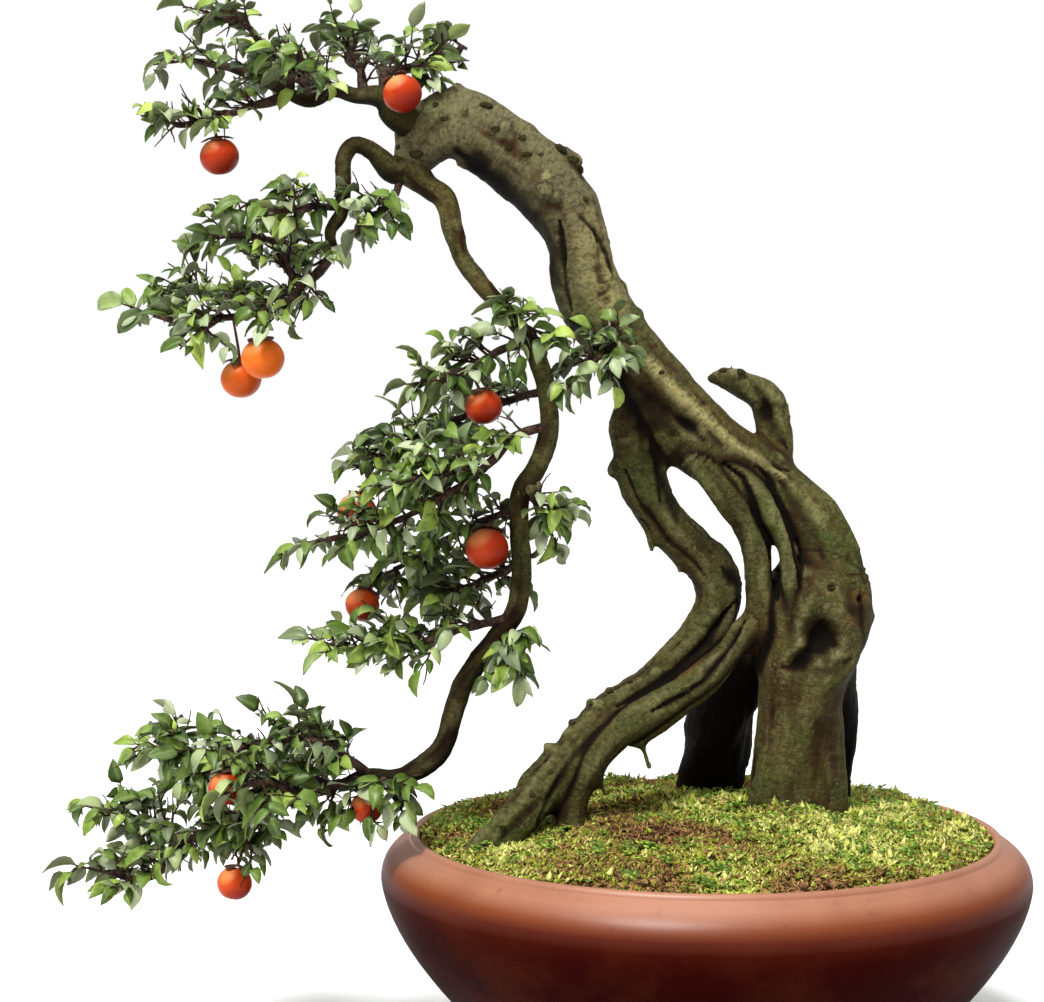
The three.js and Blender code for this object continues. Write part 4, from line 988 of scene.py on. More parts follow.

# %% Strokes drawn over the front view
# Each stroke: its points in the front view, its half width, its depth (in is negative), all in
# millimetres, and how dark (painted shade), pale (pale bark and painted highlight) and rusty it is, as far
# as it is.
FURROWS = {
    "panel_left_edge": ([(-88, 505), (-87, 488), (-85, 466), (-81, 451)], 2.4, -1.6, 0.8),
    "panel_right_edge": ([(-80, 513), (-67, 499), (-59, 485), (-56, 470)], 1.8, -0.9, 0.6),
    "pale_panel": ([(-70, 510), (-67, 488), (-62, 467), (-50, 440)], 11.4, 0.6, 0, 0.85),
    "ridge_crest": (
        [(-59, 436), (-38, 423), (-14, 399), (5, 382), (17, 370), (35, 360), (48, 351)], 3.6, 2.4, 0, 1.1),
    "ridge_foot": ([(48, 351), (61, 338), (73, 320)], 5.4, 0.8, 0, 0.35),
    "ridge_shadow_upper": ([(-65, 428), (-44, 403), (-20, 379)], 12, -0.8, 0.75, 0, 0.1),
    "ridge_shadow_lower": ([(-56, 418), (-46, 397), (-32, 373)], 7.2, -0.6, 0.95, 0, 0.2),
    "fork_shadow": ([(-29, 370), (-26, 350), (-17, 326)], 5.4, -0.4, 0.8),
    "bend_underside": (
        [(-149, 547), (-125, 526), (-107, 505), (-97, 480), (-92, 456)], 11.4, -0.3, 1.0, 0, 0.12),
    "neck_shadow": ([(-187, 544), (-181, 530), (-171, 523)], 6.6, -0.4, 0.95),
    "stub_shadow": ([(28, 410), (38, 392), (39, 376)], 4.2, -0.3, 0.6),
    "leg_top_shadow": ([(10, 298), (22, 284), (19, 272)], 4.8, -0.8, 0.9),
    "neck_light": ([(-178, 565), (-183, 554), (-185, 544)], 5.4, 0.2, 0, 0.35),
    "toe_gap": ([(-123, 133), (-106, 151), (-99, 158)], 3.6, -1.2, 0.6),
    "toe_shadow": ([(-92, 158), (-87, 146), (-83, 135)], 6, -0.2, 0.5),
    "ridge_valley": ([(-69, 440), (-51, 415), (-33, 399), (-15, 387), (-1, 374)], 4.8, -1.6, 0.6),
    "panel_foot_notch": ([(-82, 445), (-75, 441), (-69, 435)], 4.2, -2.5, 0.9),
    "strand_furrow_left": (
        [(11, 361), (23, 352), (33, 324), (40, 309), (43, 294), (43, 279)], 1.8, -3.6, 1),
    "strand_furrow_right": (
        [(29, 360), (37, 353), (48, 329), (53, 314), (57, 294), (58, 283)], 1.8, -2.6, 1),
    "bulge_top_groove": ([(45, 350), (61, 326), (71, 304)], 5.4, -0.8, 0.45),
    "strand_side_groove": ([(-3, 364), (11, 343), (22, 314), (26, 284)], 3, -0.4, 0.45),
    "strand_head_groove": ([(-3, 386), (10, 372), (28, 362), (50, 356)], 3, -1.2, 0.5),
    "column_top_fold": ([(52, 268), (51, 256), (54, 246), (61, 240)], 4.2, -1.0, 0.3),
    "hollow_lower_fold": ([(47, 237), (61, 234), (75, 235), (88, 242)], 4.8, -1.6, 0.35),
    "leg_groove_upper": ([(17, 276), (2, 254), (-18, 235), (-36, 224), (-53, 214)], 2.4, -3, 1, 0, 0.1),
    "leg_groove_lower": ([(24, 266), (11, 244), (-1, 228), (-16, 219), (-32, 211)], 2.4, -2.6, 0.9),
    "leg_rust": ([(1, 245), (-10, 237), (-20, 232)], 3, 0.5, 0, 0.1, 0.7),
    "leg_ridge": ([(-39, 231), (-63, 213), (-83, 193), (-103, 168)], 4.2, 0.8, 0, 0.25),
    "leg_low_groove": ([(-63, 202), (-80, 182), (-94, 158), (-101, 142)], 2.4, -1.6, 0.6),
    "fork_groove": ([(-33, 374), (-29, 361), (-27, 338)], 3.6, -2, 0.9),
    "twin_trunk_groove": (
        [(-48, 356), (-39, 335), (-22, 314), (-9, 302), (4, 289)], 2.4, -1.5, 0.6, 0, 0.15),
    "column_left_groove": ([(28, 218), (26, 194), (28, 164)], 3.6, -1.2, 0.5, 0, 0.25),
    "bend_top": ([(-159, 567), (-146, 573), (-130, 566), (-116, 554)], 4.8, 0.6, 0, 0.25),
    "bend_inner_groove": ([(-141, 540), (-124, 529), (-109, 511), (-99, 486)], 6, -0.4, 0.6, 0, 0.1),
    "stub_light": ([(26, 414), (38, 403), (43, 388)], 3.6, 0.5, 0, 0.15),
    "stub_groove": ([(35, 398), (39, 386), (49, 370)], 3, -1.2, 0.5),
}
# Each spot: its place and two half sizes in millimetres, its turn in degrees, its depth, and how dark
# (mostly painted shade in hollows), pale (pale bark and painted highlight) and rusty it is, as far as it is.
SPOTS = [
    (70.2, 258.8, 18, 19.8, 0, 1.8), (70.2, 257, 10.8, 13.2, 0, -15, 1, 0, 0.1),
    (59.4, 241.4, 9, 5.4, 20, -5, 1), (-11.4, 383.6, 8.4, 4.2, -25, -4, 1),
    (75.6, 285.2, 5.4, 5.4, 0, 1.6, 0, 0.1, 0.3), (75.6, 285.2, 2.4, 2.4, 0, -2.6, 1, 0, 0.1),
    (93, 279.2, 4.2, 5.4, 0, 1.4, 0, 0, 0.8), (93, 279.2, 1.8, 2.4, 0, -1.8, 0.9),
    (87, 264.8, 3, 4.2, 0, 1, 0.1, 0, 0.4), (60, 296, 4.2, 3, -30, 1.2, 0.3),
    (-173.4, 544.4, 5.4, 4.2, -40, 1.6, 0.3), (-95.4, 531.8, 3, 3, 0, 0.7, 0, 0.9),
    (-83.4, 518, 2.4, 1.8, 0, 0.5, 0, 0.6), (-106.8, 494, 3, 4.2, 0, 0.5, 0.3),
    (-87, 480.8, 2.4, 3.6, 0, -1.2, 0.6), (-63, 465.2, 2.4, 1.8, 0, 1, 0.6),
    (-46.2, 444.8, 3, 1.8, -20, 1.2, 0.4), (-26.4, 414.8, 3, 2.4, 0, 1.4, 0.3),
    (-54, 357.8, 3.6, 4.8, 0, 2, 0.3), (-68.4, 215.6, 3, 2.4, 0, 2.2, 0.3),
    (-79.8, 203.6, 3, 2.4, 0, 2.2, 0.3), (-91.2, 187.4, 3.6, 3, 0, 2.2, 0.3),
    (-57, 222.8, 2.4, 2.4, 0, 2, 0.5), (-45, 228.8, 2.4, 2.4, 0, 1.8, 0.4),
    (-11.4, 224, 3.6, 2.4, 20, 2.2, 0.3), (6.6, 270.8, 3, 3, 0, 1.8, 0.4), (45, 208.4, 2.4, 3, 0, 0.8, 0.4),
    (70.2, 208.4, 2.4, 3.6, 0, 0.8, 0.3), (57, 182, 3, 3.6, 0, 0.8, 0.2, 0, 0.2),
    (39, 326, 2.4, 5.4, 0, 0.8, 0.1), (21, 414.8, 3, 2.4, 0, 2, 0.7), (10.2, 416, 3, 3, 0, 1.6, 0.6),
    (4.2, 411.2, 2.4, 2.4, 0, 1.6, 0.9), (35.4, 390.8, 4.8, 6, 0, -1.6, 0.8),
    (-41.4, 426.8, 3, 2.4, 0, 1, 0, 0.3), (-48, 374, 3, 2.4, 0, 1.6, 0.4),
]


def near_stroke(view, stroke):
    """The distance of each place to a drawn stroke, larger near its ends so that the stroke tapers."""
    nearest = np.full(len(view), np.inf)
    spans = np.linalg.norm(np.diff(np.array(stroke, float), axis=0), axis=1)
    walked = 0.0
    for (x0, y0), (x1, y1), span in zip(stroke, stroke[1:], spans):
        way = np.array([x1 - x0, y1 - y0], float)
        share = np.clip(((view - (x0, y0)) @ way) / (way @ way), 0, 1)
        along = (walked + share * span) / spans.sum()
        taper = np.clip(np.minimum(along, 1 - along) / 0.16, 0.3, 1)
        apart = np.linalg.norm(view - ((x0, y0) + share[:, None] * way), axis=1)
        nearest = np.minimum(nearest, apart / taper)
        walked += span
    return nearest


relief = np.zeros(len(skin))
dark, pale, rust = (np.zeros(len(skin)) for _ in range(3))


def carve(weight, depth, shares):
    """Moves the skin in or out by a weight, and notes its painted shade, its pale or lit colour and its rust
    there.
    """
    relief[:] += weight * depth * MM
    for note, share in zip((dark, pale, rust), shares):
        note[:] = np.maximum(note, weight * share)


waver = 1 + 0.35 * cloud(skin, 160, 2)
for stroke, half_width, depth, *shares in FURROWS.values():
    carve(fading(near_stroke(view, stroke), half_width * waver) * seen, depth, shares)
for x, y, half_x, half_y, turn, depth, *shares in SPOTS:
    cosine, sine = math.cos(math.radians(turn)), math.sin(math.radians(turn))
    own = (view - (x, y)) @ np.array([[cosine, -sine], [sine, cosine]])
    carve(np.exp(-((own / (half_x, half_y)) ** 2).sum(axis=1) ** 1.5 * waver) * seen, depth, shares)
print("strokes:", len(FURROWS), "spots:", len(SPOTS))

# %% Knobs on the outline
# Each knob: x, z, depth and radius in mm of the place on the skin, and how far it stands out.
KNOBS = [
    (-148, 586, 0, 5, 3), (-84, 545, 4, 7, 4), (-77, 540, -4, 5, 3), (-183, 556, 0, 5, 2.5),
    (-54, 464, 0, 5, 2), (-128, 575, 8, 5, 2.5), (-106, 562, 10, 4, 2.5), (-60, 492, 6, 4, 2),
    (-46, 446, 0, 4, 2), (-53, 356, 2, 6, 3), (18, 421, 0, 5, 3), (50, 400, 0, 5, 2), (96, 268, 0, 6, 2),
    (94, 240, 0, 6, 2.5), (-64, 214, -30, 5, 3), (-84, 200, -38, 5, 3), (-93, 187, -42, 5, 3),
    (-30, 232, -12, 5, 2.5), (36, 355, 0, 5, 2), (-120, 560, -16, 4, 2), (-90, 520, -18, 4, 2),
    (60, 330, 6, 5, 2), (-20, 400, 18, 6, 3), (70, 260, 30, 8, 4), (40, 290, 26, 7, 3),
]
for x, z, depth, radius, height in KNOBS:
    centre, normal, _, _ = skin_tree.find_nearest(place(x, z, depth))
    apart = np.linalg.norm(skin - np.array(centre), axis=1) / (radius * MM)
    bump = np.exp(-(apart**2) * 1.4)
    relief += bump * height * MM
    # A ring of painted shade round the foot of each knob.
    dark = np.maximum(dark, 0.45 * np.exp(-((apart - 0.9) ** 2) * 8))

# %% Wrinkles and lumps in the grain
ROUGH_LIMBS = {"twin_trunk_and_leg": 1.7, "leg_lower_strand": 1.5, "leg_thin_strand": 1.4, "root_column": 0.8}
CREASE_BLEND, SEAM_WIDTH, SEAM_DEPTH = 0.009, 0.0022, 1.2
STRAND_DEPTH, LUMP_DEPTH, WRINKLE_DEPTH, PIT_DEPTH = 0.85, 1.0, 0.25, 0.8
STRAND_WAVES, LUMP_WAVES, WRINKLE_WAVES, PIT_WAVES = 120, 55, 330, 260
limb_names = list(fused_limbs)
rough = np.array([ROUGH_LIMBS.get(name, 1.6 if name in DEADWOOD else 1.0) for name in limb_names])[limb_of]
strands = STRAND_DEPTH * cloud(grain * (1, 1, 0.16), STRAND_WAVES, 3)
lumps = LUMP_DEPTH * cloud(skin, LUMP_WAVES, 2)
wrinkles = WRINKLE_DEPTH * cloud(grain * (0.35, 0.35, 1), WRINKLE_WAVES, 2)
pits = PIT_DEPTH * np.clip(cloud(skin + 5, PIT_WAVES, 2) - 0.55, 0, 1)
texture = (strands + lumps + wrinkles - pits) * rough
near_crease = fading(crease, CREASE_BLEND)
texture += near_crease * (averaged(texture[:, None], 24)[:, 0] - texture)
relief += texture * MM
seam = fading(crease, SEAM_WIDTH) * parallel
relief -= SEAM_DEPTH * MM * seam
# Painted shade along the seam where two strands run side by side.
dark = np.maximum(dark, 0.5 * seam)
carved = skin + outward_of * relief[:, None]
mesh.vertices.foreach_set("co", carved.ravel())
mesh.update()
print("skin moved by", round(relief.min() / MM, 1), "to", round(relief.max() / MM, 1), "mm")

# %% Painted shade in shut places, creases and undersides, and painted highlight on ridges and the upper trunk
SHUT_REACH, SHUT_RAYS, SHUT_LEAN = 0.020, 6, math.radians(52)
SHADED_LIMBS = {
    "back_root": 0.97, "right_back_root": 0.93, "twin_trunk_and_leg": 0.24, "leg_lower_strand": 0.16,
}
UPPER_TRUNK, UPPER_LIGHT = (0.42, 0.52), 0.18
AWAY_FROM_LIGHT, AWAY_SHADE, USUAL_DEPTH = np.array([0.30, 0.12, -0.94]), 0.85, 1.1

outward_of = vectors_of(mesh, "normal")
wood_tree = tree_of(mesh)


def shut_share(points, outward, tree):
    """How much of what lies before each point is shut in by other wood nearby, from 0 to 1."""
    across = np.cross(outward, (0.3, 0.5, 0.8))
    across /= np.linalg.norm(across, axis=1, keepdims=True)
    second = np.cross(outward, across)
    shut = np.zeros(len(points))
    starts = [Vector(p) for p in points + outward * 0.0006]
    for ray in range(SHUT_RAYS):
        turn = 2 * math.pi * ray / SHUT_RAYS
        aside = across * math.cos(turn) + second * math.sin(turn)
        ways = outward * math.cos(SHUT_LEAN) + aside * math.sin(SHUT_LEAN)
        for i, way in enumerate(ways.tolist()):
            distance = tree.ray_cast(starts[i], way, SHUT_REACH)[3]
            if distance is not None:
                shut[i] += 1 - distance / SHUT_REACH
    return shut / SHUT_RAYS


shut = averaged(shut_share(carved, outward_of, wood_tree)[:, None], 2)[:, 0]
# Sunken places get painted shade, raised ones a painted highlight, in the bark finish.
fine_depth = ((averaged(carved, 8) - carved) * outward_of).sum(axis=1) / MM
broad_depth = ((averaged(carved, 30) - carved) * outward_of).sum(axis=1) / MM
sunken = fine_depth + 0.35 * (broad_depth + USUAL_DEPTH)
raised = np.clip(-fine_depth - 0.35 * (broad_depth + USUAL_DEPTH), 0, 2)
# Painted shade where the skin faces away from the light.
dark = np.maximum(dark, AWAY_SHADE * np.clip(outward_of @ AWAY_FROM_LIGHT, 0, 1))
# Painted light: the upper trunk is lighter.
aloft = np.interp(carved[:, 2], UPPER_TRUNK, (0, 1))
pale = np.maximum(pale, UPPER_LIGHT * aloft)
shaded = np.array([SHADED_LIMBS.get(name, 0) for name in limb_names])[limb_of]
shaded = averaged(shaded[:, None], 24)[:, 0] * np.clip((0.50 - outward_of[:, 1]) / 0.5, 0.15, 1)
dark = np.maximum(dark, shaded)
# Painted shade where other wood shuts the skin in.
dark = np.maximum(dark, np.clip(1.9 * shut - 0.12, 0, 1))
mesh.shade_smooth()
print("shut in by more than a third:", int((shut > 0.33).sum()), "points")

# %% [markdown]
# ### Bark
# The bark is a thin olive-grey skin over brown wood. It is pale where it is rubbed and rusty where it has
# flaked off; a painted highlight lightens its raised ridges and upper trunk, and painted shade makes every
# crease, hole and underside nearly black. The carving's notes drive those. The fine wrinkles run across
# each limb, and grit and specks break the colour everywhere.

# %% Bark finish
bark = Finish("old_bark", roughness=0.7, specular=0.07)
bark_long = bark.place_of(stretch=(1, 1, 0.22), attribute="grain")
bark_round = bark.place_of(stretch=(0.3, 0.3, 1), attribute="grain")
bark_whole = bark.place_of()
bark.paint(bark.layered((0.034, 0.028, 0.008), [
    ((bark_whole, 30), (0.096, 0.088, 0.026), 0.34, 0.66),  # olive skin
    ((bark_whole, 17), (0.058, 0.084, 0.014), 0.46, 0.72),  # green film
    ((bark_whole, 12), (0.080, 0.036, 0.010), 0.50, 0.80),  # brown patches
    ((bark_long, 110), (0.150, 0.136, 0.048), 0.5, 0.8),  # long fibres
    # Painted highlight: raised ridges and the upper trunk are lighter; the pale note is pale bark and painted
    # highlight.
    ("raised", (0.260, 0.240, 0.105), 0.30, 3.0),
    ("aloft", (0.180, 0.160, 0.100), 0.0, 2.4),
    ("pale", (0.390, 0.335, 0.135), 0.05, 1.3),
    ("rust", (0.200, 0.062, 0.016), 0.05, 1.2),
    ((bark_whole, 560), (0.230, 0.212, 0.105), 0.52, 0.88),  # grit
    ((bark_whole, 400), (0.018, 0.013, 0.005), 0.48, 0.80),  # dark specks
    ((bark_round, 420), (0.026, 0.021, 0.007), 0.50, 0.80),  # wrinkles across the limb
    # Painted shade: sunken places and the dark note go brown and nearly black.
    ("sunken", (0.060, 0.026, 0.008), 0.04, 0.8),
    ("sunken", (0.007, 0.005, 0.002), 0.16, 1.25),
    ("dark", (0.0042, 0.0030, 0.0016), 0.10, 0.92),
]))
bark.grain(bark_round, 330, 900, 0.5, 0.0014)
bark.grain(bark_whole, 420, 1500, 0.5, 0.0016)
bark.roughen(bark_whole, 90, 0.55, 0.8)

store(old_trunk, "grain", grain, "FLOAT_VECTOR")
notes = {"dark": dark, "pale": pale, "rust": rust, "sunken": sunken, "raised": raised, "aloft": aloft}
for name, values in notes.items():
    store(old_trunk, name, values)
recoat(old_trunk, bark)
dress(old_trunk, "bark", "tree_wood")

# %% [markdown]
# ### Bark knots
# Buttons of dark corky bark sit on the skin where side shoots were cut. They are too small for the carved
# skin, so one button is shaped from a sphere and copied to each place that was drawn on the front view,
# in millimetres.

# %% Buttons of bark
# Each button: its x and z in the front view, and its radius.
BUTTONS = [
    (-156.6, 565.4, 2.4), (-183.6, 548.6, 2), (-173.4, 544.6, 3.6), (-126, 559.4, 2.3), (-109.8, 554, 2.2),
    (-106.8, 544.4, 2.8), (-130.8, 573, 3.6), (-72, 517.4, 2.4), (-180, 531, 2), (-161.4, 573.8, 1.8),
    (-99, 544.4, 1.6), (-118.2, 548, 1.5), (-46.2, 444.8, 1.8), (-26.4, 414.8, 1.6), (-87, 546.8, 4),
    (-79.8, 541, 4), (-75.4, 535, 3.2), (21, 414.8, 2.6), (10.2, 416, 2.2), (4.2, 411.2, 2.4),
    (75.6, 285.2, 2.4), (-68.4, 215.6, 2.3), (-79.8, 203.6, 2.3), (-57, 222.8, 2), (-45, 228.8, 1.8),
    (-11.4, 224, 2.6), (-54, 357.8, 2.4), (-93, 174, 2), (-104, 160, 1.8), (-122, 140, 1.8),
]
BUTTON_FLATNESS, BUTTON_DIMPLE, BUTTON_WOBBLE, BUTTON_REACH = 0.62, 0.30, 0.30, 0.12


def make_button():
    """The points and faces of one flattened button of radius 1, with its face towards +Z."""
    button = start_from(bpy.ops.mesh.primitive_uv_sphere_add, segments=12, ring_count=8, radius=1)
    points, faces = vectors_of(button.data), faces_of(button.data)
    bpy.data.objects.remove(button)
    reach = np.hypot(points[:, 0], points[:, 1])
    dimple = np.where(points[:, 2] > 0, BUTTON_DIMPLE * fading(reach, 0.45), 0)
    points[:, 2] = points[:, 2] * BUTTON_FLATNESS - dimple
    return points, faces


class Pile:
    """Many small closed shapes that become one piece."""

    def __init__(self):
        self.points, self.faces, self.values, self.count = [], [], [], 0

    def add(self, points, faces, *values):
        """Adds one shape, with a row of values for its points."""
        self.faces.extend(tuple(i + self.count for i in face) for face in faces)
        self.points.append(points)
        self.count += len(points)
        self.values.append(np.array([np.broadcast_to(value, len(points)) for value in values]).T)

    def finish(self, name, finish, labels=()):
        """The piece, with its values stored under their labels."""
        piece = piece_from(name, np.vstack(self.points), self.faces, finish)
        for number, label in enumerate(labels):
            store(piece, label, np.concatenate([value[:, number] for value in self.values]))
        return piece


button_points, button_faces = make_button()
button_height = np.clip(button_points[:, 2], 0, 1)
buttons = Pile()
for number, (x, z, radius) in enumerate(BUTTONS):
    target = place(x, z, 0)
    hit, normal, _, _ = wood_tree.ray_cast(EYE, (target - EYE).normalized())
    if hit is None or (hit - target).length > BUTTON_REACH:
        hit, normal, _, _ = wood_tree.find_nearest(target)
    wobble = 1 + BUTTON_WOBBLE * cloud(button_points * 0.01 + number, 110, 2)
    shape = button_points * wobble[:, None] * (1.15, 0.62 + 0.09 * (number % 5), 1 + 0.15 * (number % 3))
    spot = (shape @ facing(normal)) * radius * MM + np.array(hit)
    # Each button is painted darker towards its foot, as shade, and lighter on its top, as a painted
    # highlight, over its own dark corky colour.
    buttons.add(spot, button_faces, 0.78 - 0.5 * button_height, 0.6 * button_height)
bark_buttons = buttons.finish("bark_buttons", bark, ["dark", "raised"])
store(bark_buttons, "grain", vectors_of(bark_buttons.data), "FLOAT_VECTOR")
dress(bark_buttons, "bark", "tree_wood")

# %% [markdown]
# ### Long branch, S-branch and crown limb
# These three leave the head of the trunk as rods no thicker than a finger, knotty and bent. A remesh would
# waste faces on them, so each is a tube of close rings whose radius swells at knots and where it joins.

# %% Thin limbs
COLLAR_LENGTH, ROD_SIDES, ROD_PITCH, ROD_COLLAR = 0.012, 22, 0.0022, 0.35
THIN_SHADES = {"long_branch": (0.12, 0.72), "s_branch": (0.32, 0.5), "crown_limb": (0.5, 0.5)}
RUN_ON = {"long_branch": "lowest_1", "s_branch": "shoulder_1", "crown_limb": "crown_2"}
ROD_SWAY, ROD_KNOT, ROD_FURROW, ROD_WRINKLE, ROD_END = 0.10, 0.16, 0.09, 0.035, (0.92, 0.75, 0.4)


def run_on(name):
    """A thin limb's stations, drawn on into the bough that carries its line further."""
    following = zip(BOUGHS[RUN_ON[name]][1:3], (1.06, 0.80))
    return LIGHT_WOOD[name] + [[x, z, depth, radius * share] for (x, z, depth, radius), share in following]


def bark_values(piece, points, grain_values, sunken_values, dark_values):
    """Stores what the bark finish reads."""
    store(piece, "grain", grain_values, "FLOAT_VECTOR")
    store(piece, "sunken", sunken_values)
    store(piece, "dark", dark_values)
    store(piece, "raised", np.clip(cloud(points, 180, 2), 0, 1) * 0.6)
    store(piece, "pale", np.clip(cloud(points, 60, 2), 0, 0.5))
    store(piece, "rust", np.clip(cloud(points + 3, 45, 2) - 0.2, 0, 0.22))


def knotty_tube(name, stations, seed, shades):
    """A bark rod along a route, with knots, long furrows and a collar where it starts."""
    shares = even_shares(stations, ROD_PITCH)
    centres = points_along(stations, shares)
    walked = walked_along(centres)
    radii = radii_along(stations, shares)
    centres = centres + ROD_SWAY * radii[:, None] * sway_of(centres + seed, 1, 70)
    knots = np.clip(cloud(np.column_stack([walked, 0 * walked + seed, 0 * walked]), 42, 2), 0, 1) ** 2
    radii = radii * (1 + ROD_KNOT * knots + ROD_COLLAR * np.exp(-walked / COLLAR_LENGTH))
    radii[-3:] *= ROD_END
    points, faces = tube_arrays(centres, radii, ROD_SIDES)
    turns = np.tile(np.linspace(0, 2 * math.pi, ROD_SIDES, endpoint=False), len(centres))
    spine = np.repeat(np.arange(len(centres)), ROD_SIDES)
    radial = np.repeat(radii, ROD_SIDES)
    grain_values = np.column_stack([radial * np.cos(turns), radial * np.sin(turns), walked[spine] + seed])
    furrow = cloud(grain_values * (1, 1, 0.25), 210, 2)
    wrinkle = cloud(grain_values * (0.5, 0.5, 1), 420, 2)
    away = points[:-2] - centres[spine]
    swell = 1 + ROD_FURROW * furrow + ROD_WRINKLE * wrinkle
    points[:-2] = centres[spine] + away * swell[:, None]
    piece = piece_from(name, points, faces, bark)
    grain_values = np.vstack([grain_values, grain_values[[0, -1]]])
    # Painted shade in the furrows and on the rod's under side.
    sunken_values = np.append(np.clip(-furrow * 1.1, 0, 1), [0, 0])
    shade_below = np.append(np.clip(-away[:, 2] / radial, 0, 1) * 0.5, [0, 0])
    shade = np.append(np.interp(walked, walked[[0, -1]], shades)[spine], [0, 0])
    bark_values(piece, points, grain_values, sunken_values, np.clip(shade_below + shade, 0, 0.9))
    return piece


for number, name in enumerate(THIN_LIMBS):
    rod = knotty_tube(name + "_rod", run_on(name), 2.0 + number, THIN_SHADES[name])
    dress(rod, "bark", "tree_wood")

# %% [markdown]
# ## Leafy boughs
# Every bough forks into short crooked twigs that bear small pointed leaves on both sides. One leaf is
# modelled from a grid: drawn to its outline and given thickness. Copies of it are laid where the solid has
# its plain sprays and along fine shoots between them, each with its own fold along the rib, roll and curl.

# %% One leaf
LEAF_HALF_WIDTH, LEAF_STALK, LEAF_TIP, LEAF_THICKNESS = 0.235, 0.012, 0.002, 0.022


def make_leaf(columns, rows):
    """The points, faces, places over the blade and upper side marks of one leaf of length 1."""
    leaf = start_from(bpy.ops.mesh.primitive_grid_add, x_subdivisions=columns, y_subdivisions=rows, size=2)
    flat = vectors_of(leaf.data)
    along = (flat[:, 1] + 1) / 2
    width = LEAF_HALF_WIDTH * np.sin(math.pi * along**0.8) ** 0.75 * (1 - 0.35 * along**3)
    width[along < 1e-3] = LEAF_STALK
    width[along > 1 - 1e-3] = LEAF_TIP
    blade = np.column_stack([flat[:, 0] * width, along, 0 * along])
    leaf.data.vertices.foreach_set("co", blade.ravel())
    store(leaf, "across", flat[:, 0])
    apply_modifier(leaf, "SOLIDIFY", "thickness", thickness=LEAF_THICKNESS, offset=0)
    points, faces = vectors_of(leaf.data), faces_of(leaf.data)
    across = np.array([value.value for value in leaf.data.attributes["across"].data])
    bpy.data.objects.remove(leaf)
    return points, faces, across, (points[:, 2] > 0).astype(float)


FULL_LEAF = make_leaf(4, 6)
SMALL_LEAF = make_leaf(2, 5)
for leaf_shape in (FULL_LEAF, SMALL_LEAF):
    print("leaf:", len(leaf_shape[0]), "points", len(leaf_shape[1]), "faces")

# %% Sprays of a bough, as the solid has them
TIP_LENGTH, TIP_OVERLAP, SPRAY_SPACING, ON_SOLID = 0.020, 0.004, 0.057, 0.0016
FIRST_SPRAY, SPRAY_TURN, TURN_STEP, SPRAY_LEAN, SPRAY_STEM = 0.1, (45, 110), 35, (40, 62), (18, 27)


def unit(vector):
    """The direction of a vector."""
    return Vector(vector).normalized()


def outward_at(along, turn):
    """A direction straight out from a line, turned round it, where 0 is as nearly up as it can be."""
    lift = Vector((0, -1, 0)) if abs(along.z) > 0.97 else Vector((0, 0, 1))
    lift = unit(lift - along * lift.dot(along))
    return lift * math.cos(turn) + along.cross(lift) * math.sin(turn)


def wood_share(stations):
    """Where a bough's own wood stops and its tip spray takes over."""
    return 1 - TIP_LENGTH / route_length(stations)


def side_spray(stations, bough, slot, slots, step):
    """One spray of a bough: its slot, base, heading and stem length."""
    share = FIRST_SPRAY + (wood_share(stations) - FIRST_SPRAY) * slot / slots
    along = tangent_at(stations, share)
    side = 1 if slot % 4 < 2 else -1
    turn = math.radians(side * (draw(SPRAY_TURN, bough, slot, "turn") + step * TURN_STEP))
    lean = math.radians(draw(SPRAY_LEAN, bough, slot, "lean"))
    heading = unit(along * math.cos(lean) + outward_at(along, turn) * math.sin(lean))
    base = Vector(points_along(stations, [share])[0])
    stem = draw(SPRAY_STEM, bough, slot, "stem") * MM
    return {"slot": slot, "base": base, "heading": heading, "stem": stem}


def tip_spray(stations):
    """The spray that carries a bough's tip on."""
    end, tip = (Vector(p) for p in points_along(stations, [wood_share(stations), 1]))
    heading = unit(tip - end)
    base, stem = end - heading * TIP_OVERLAP, TIP_LENGTH + TIP_OVERLAP
    return {"slot": 0, "base": base, "heading": heading, "stem": stem}


def solid_sprays(stations, bough, tree):
    """The sprays that the solid bough has, each at the turn where its stem lies on the solid."""
    slots = 2 * max(1, round(route_length(stations) / SPRAY_SPACING))
    found = [tip_spray(stations)]
    for slot in range(1, slots, 2):
        for step in range(6):
            spray = side_spray(stations, bough, slot, slots, step)
            ends = [spray["base"] + spray["heading"] * spray["stem"] * share for share in (0.6, 0.95)]
            if all(tree.find_nearest(end)[3] < ON_SOLID for end in ends):
                found.append(spray)
                break
    return found


# %% Laying leaves on a spray
chance = np.random.default_rng(5)
LEAF_CURL, LEAF_FOLD, LEAF_TWIST, LEAF_BREADTH = (0.2, 1.5), (0.2, 0.95), (-0.5, 0.5), (0.92, 1.28)
LEAF_WAVE, LEAF_WAVES, LEAF_ROLL = 0.035, 7, 0.3
SPRAY_TILT, SPRAY_SWAY, SPRAY_DROOP = (0.4, 1.6), (-0.5, 0.5), (0.18, 0.4)
# The solid's leaves: their length and play, the spread of the first pair and its growth in degrees, and how
# far below the stem's end the pairs start. The real leaves are shorter by a share.
LEAF_LENGTH, LEAF_PLAY, LEAF_SPREAD, SPREAD_STEP = (19, 28), (-3, 3), 42, 5
FIRST_PAIR, PAIR_STEP, SOLID_LEAF_SHARE = 0.007, 0.0065, 0.76


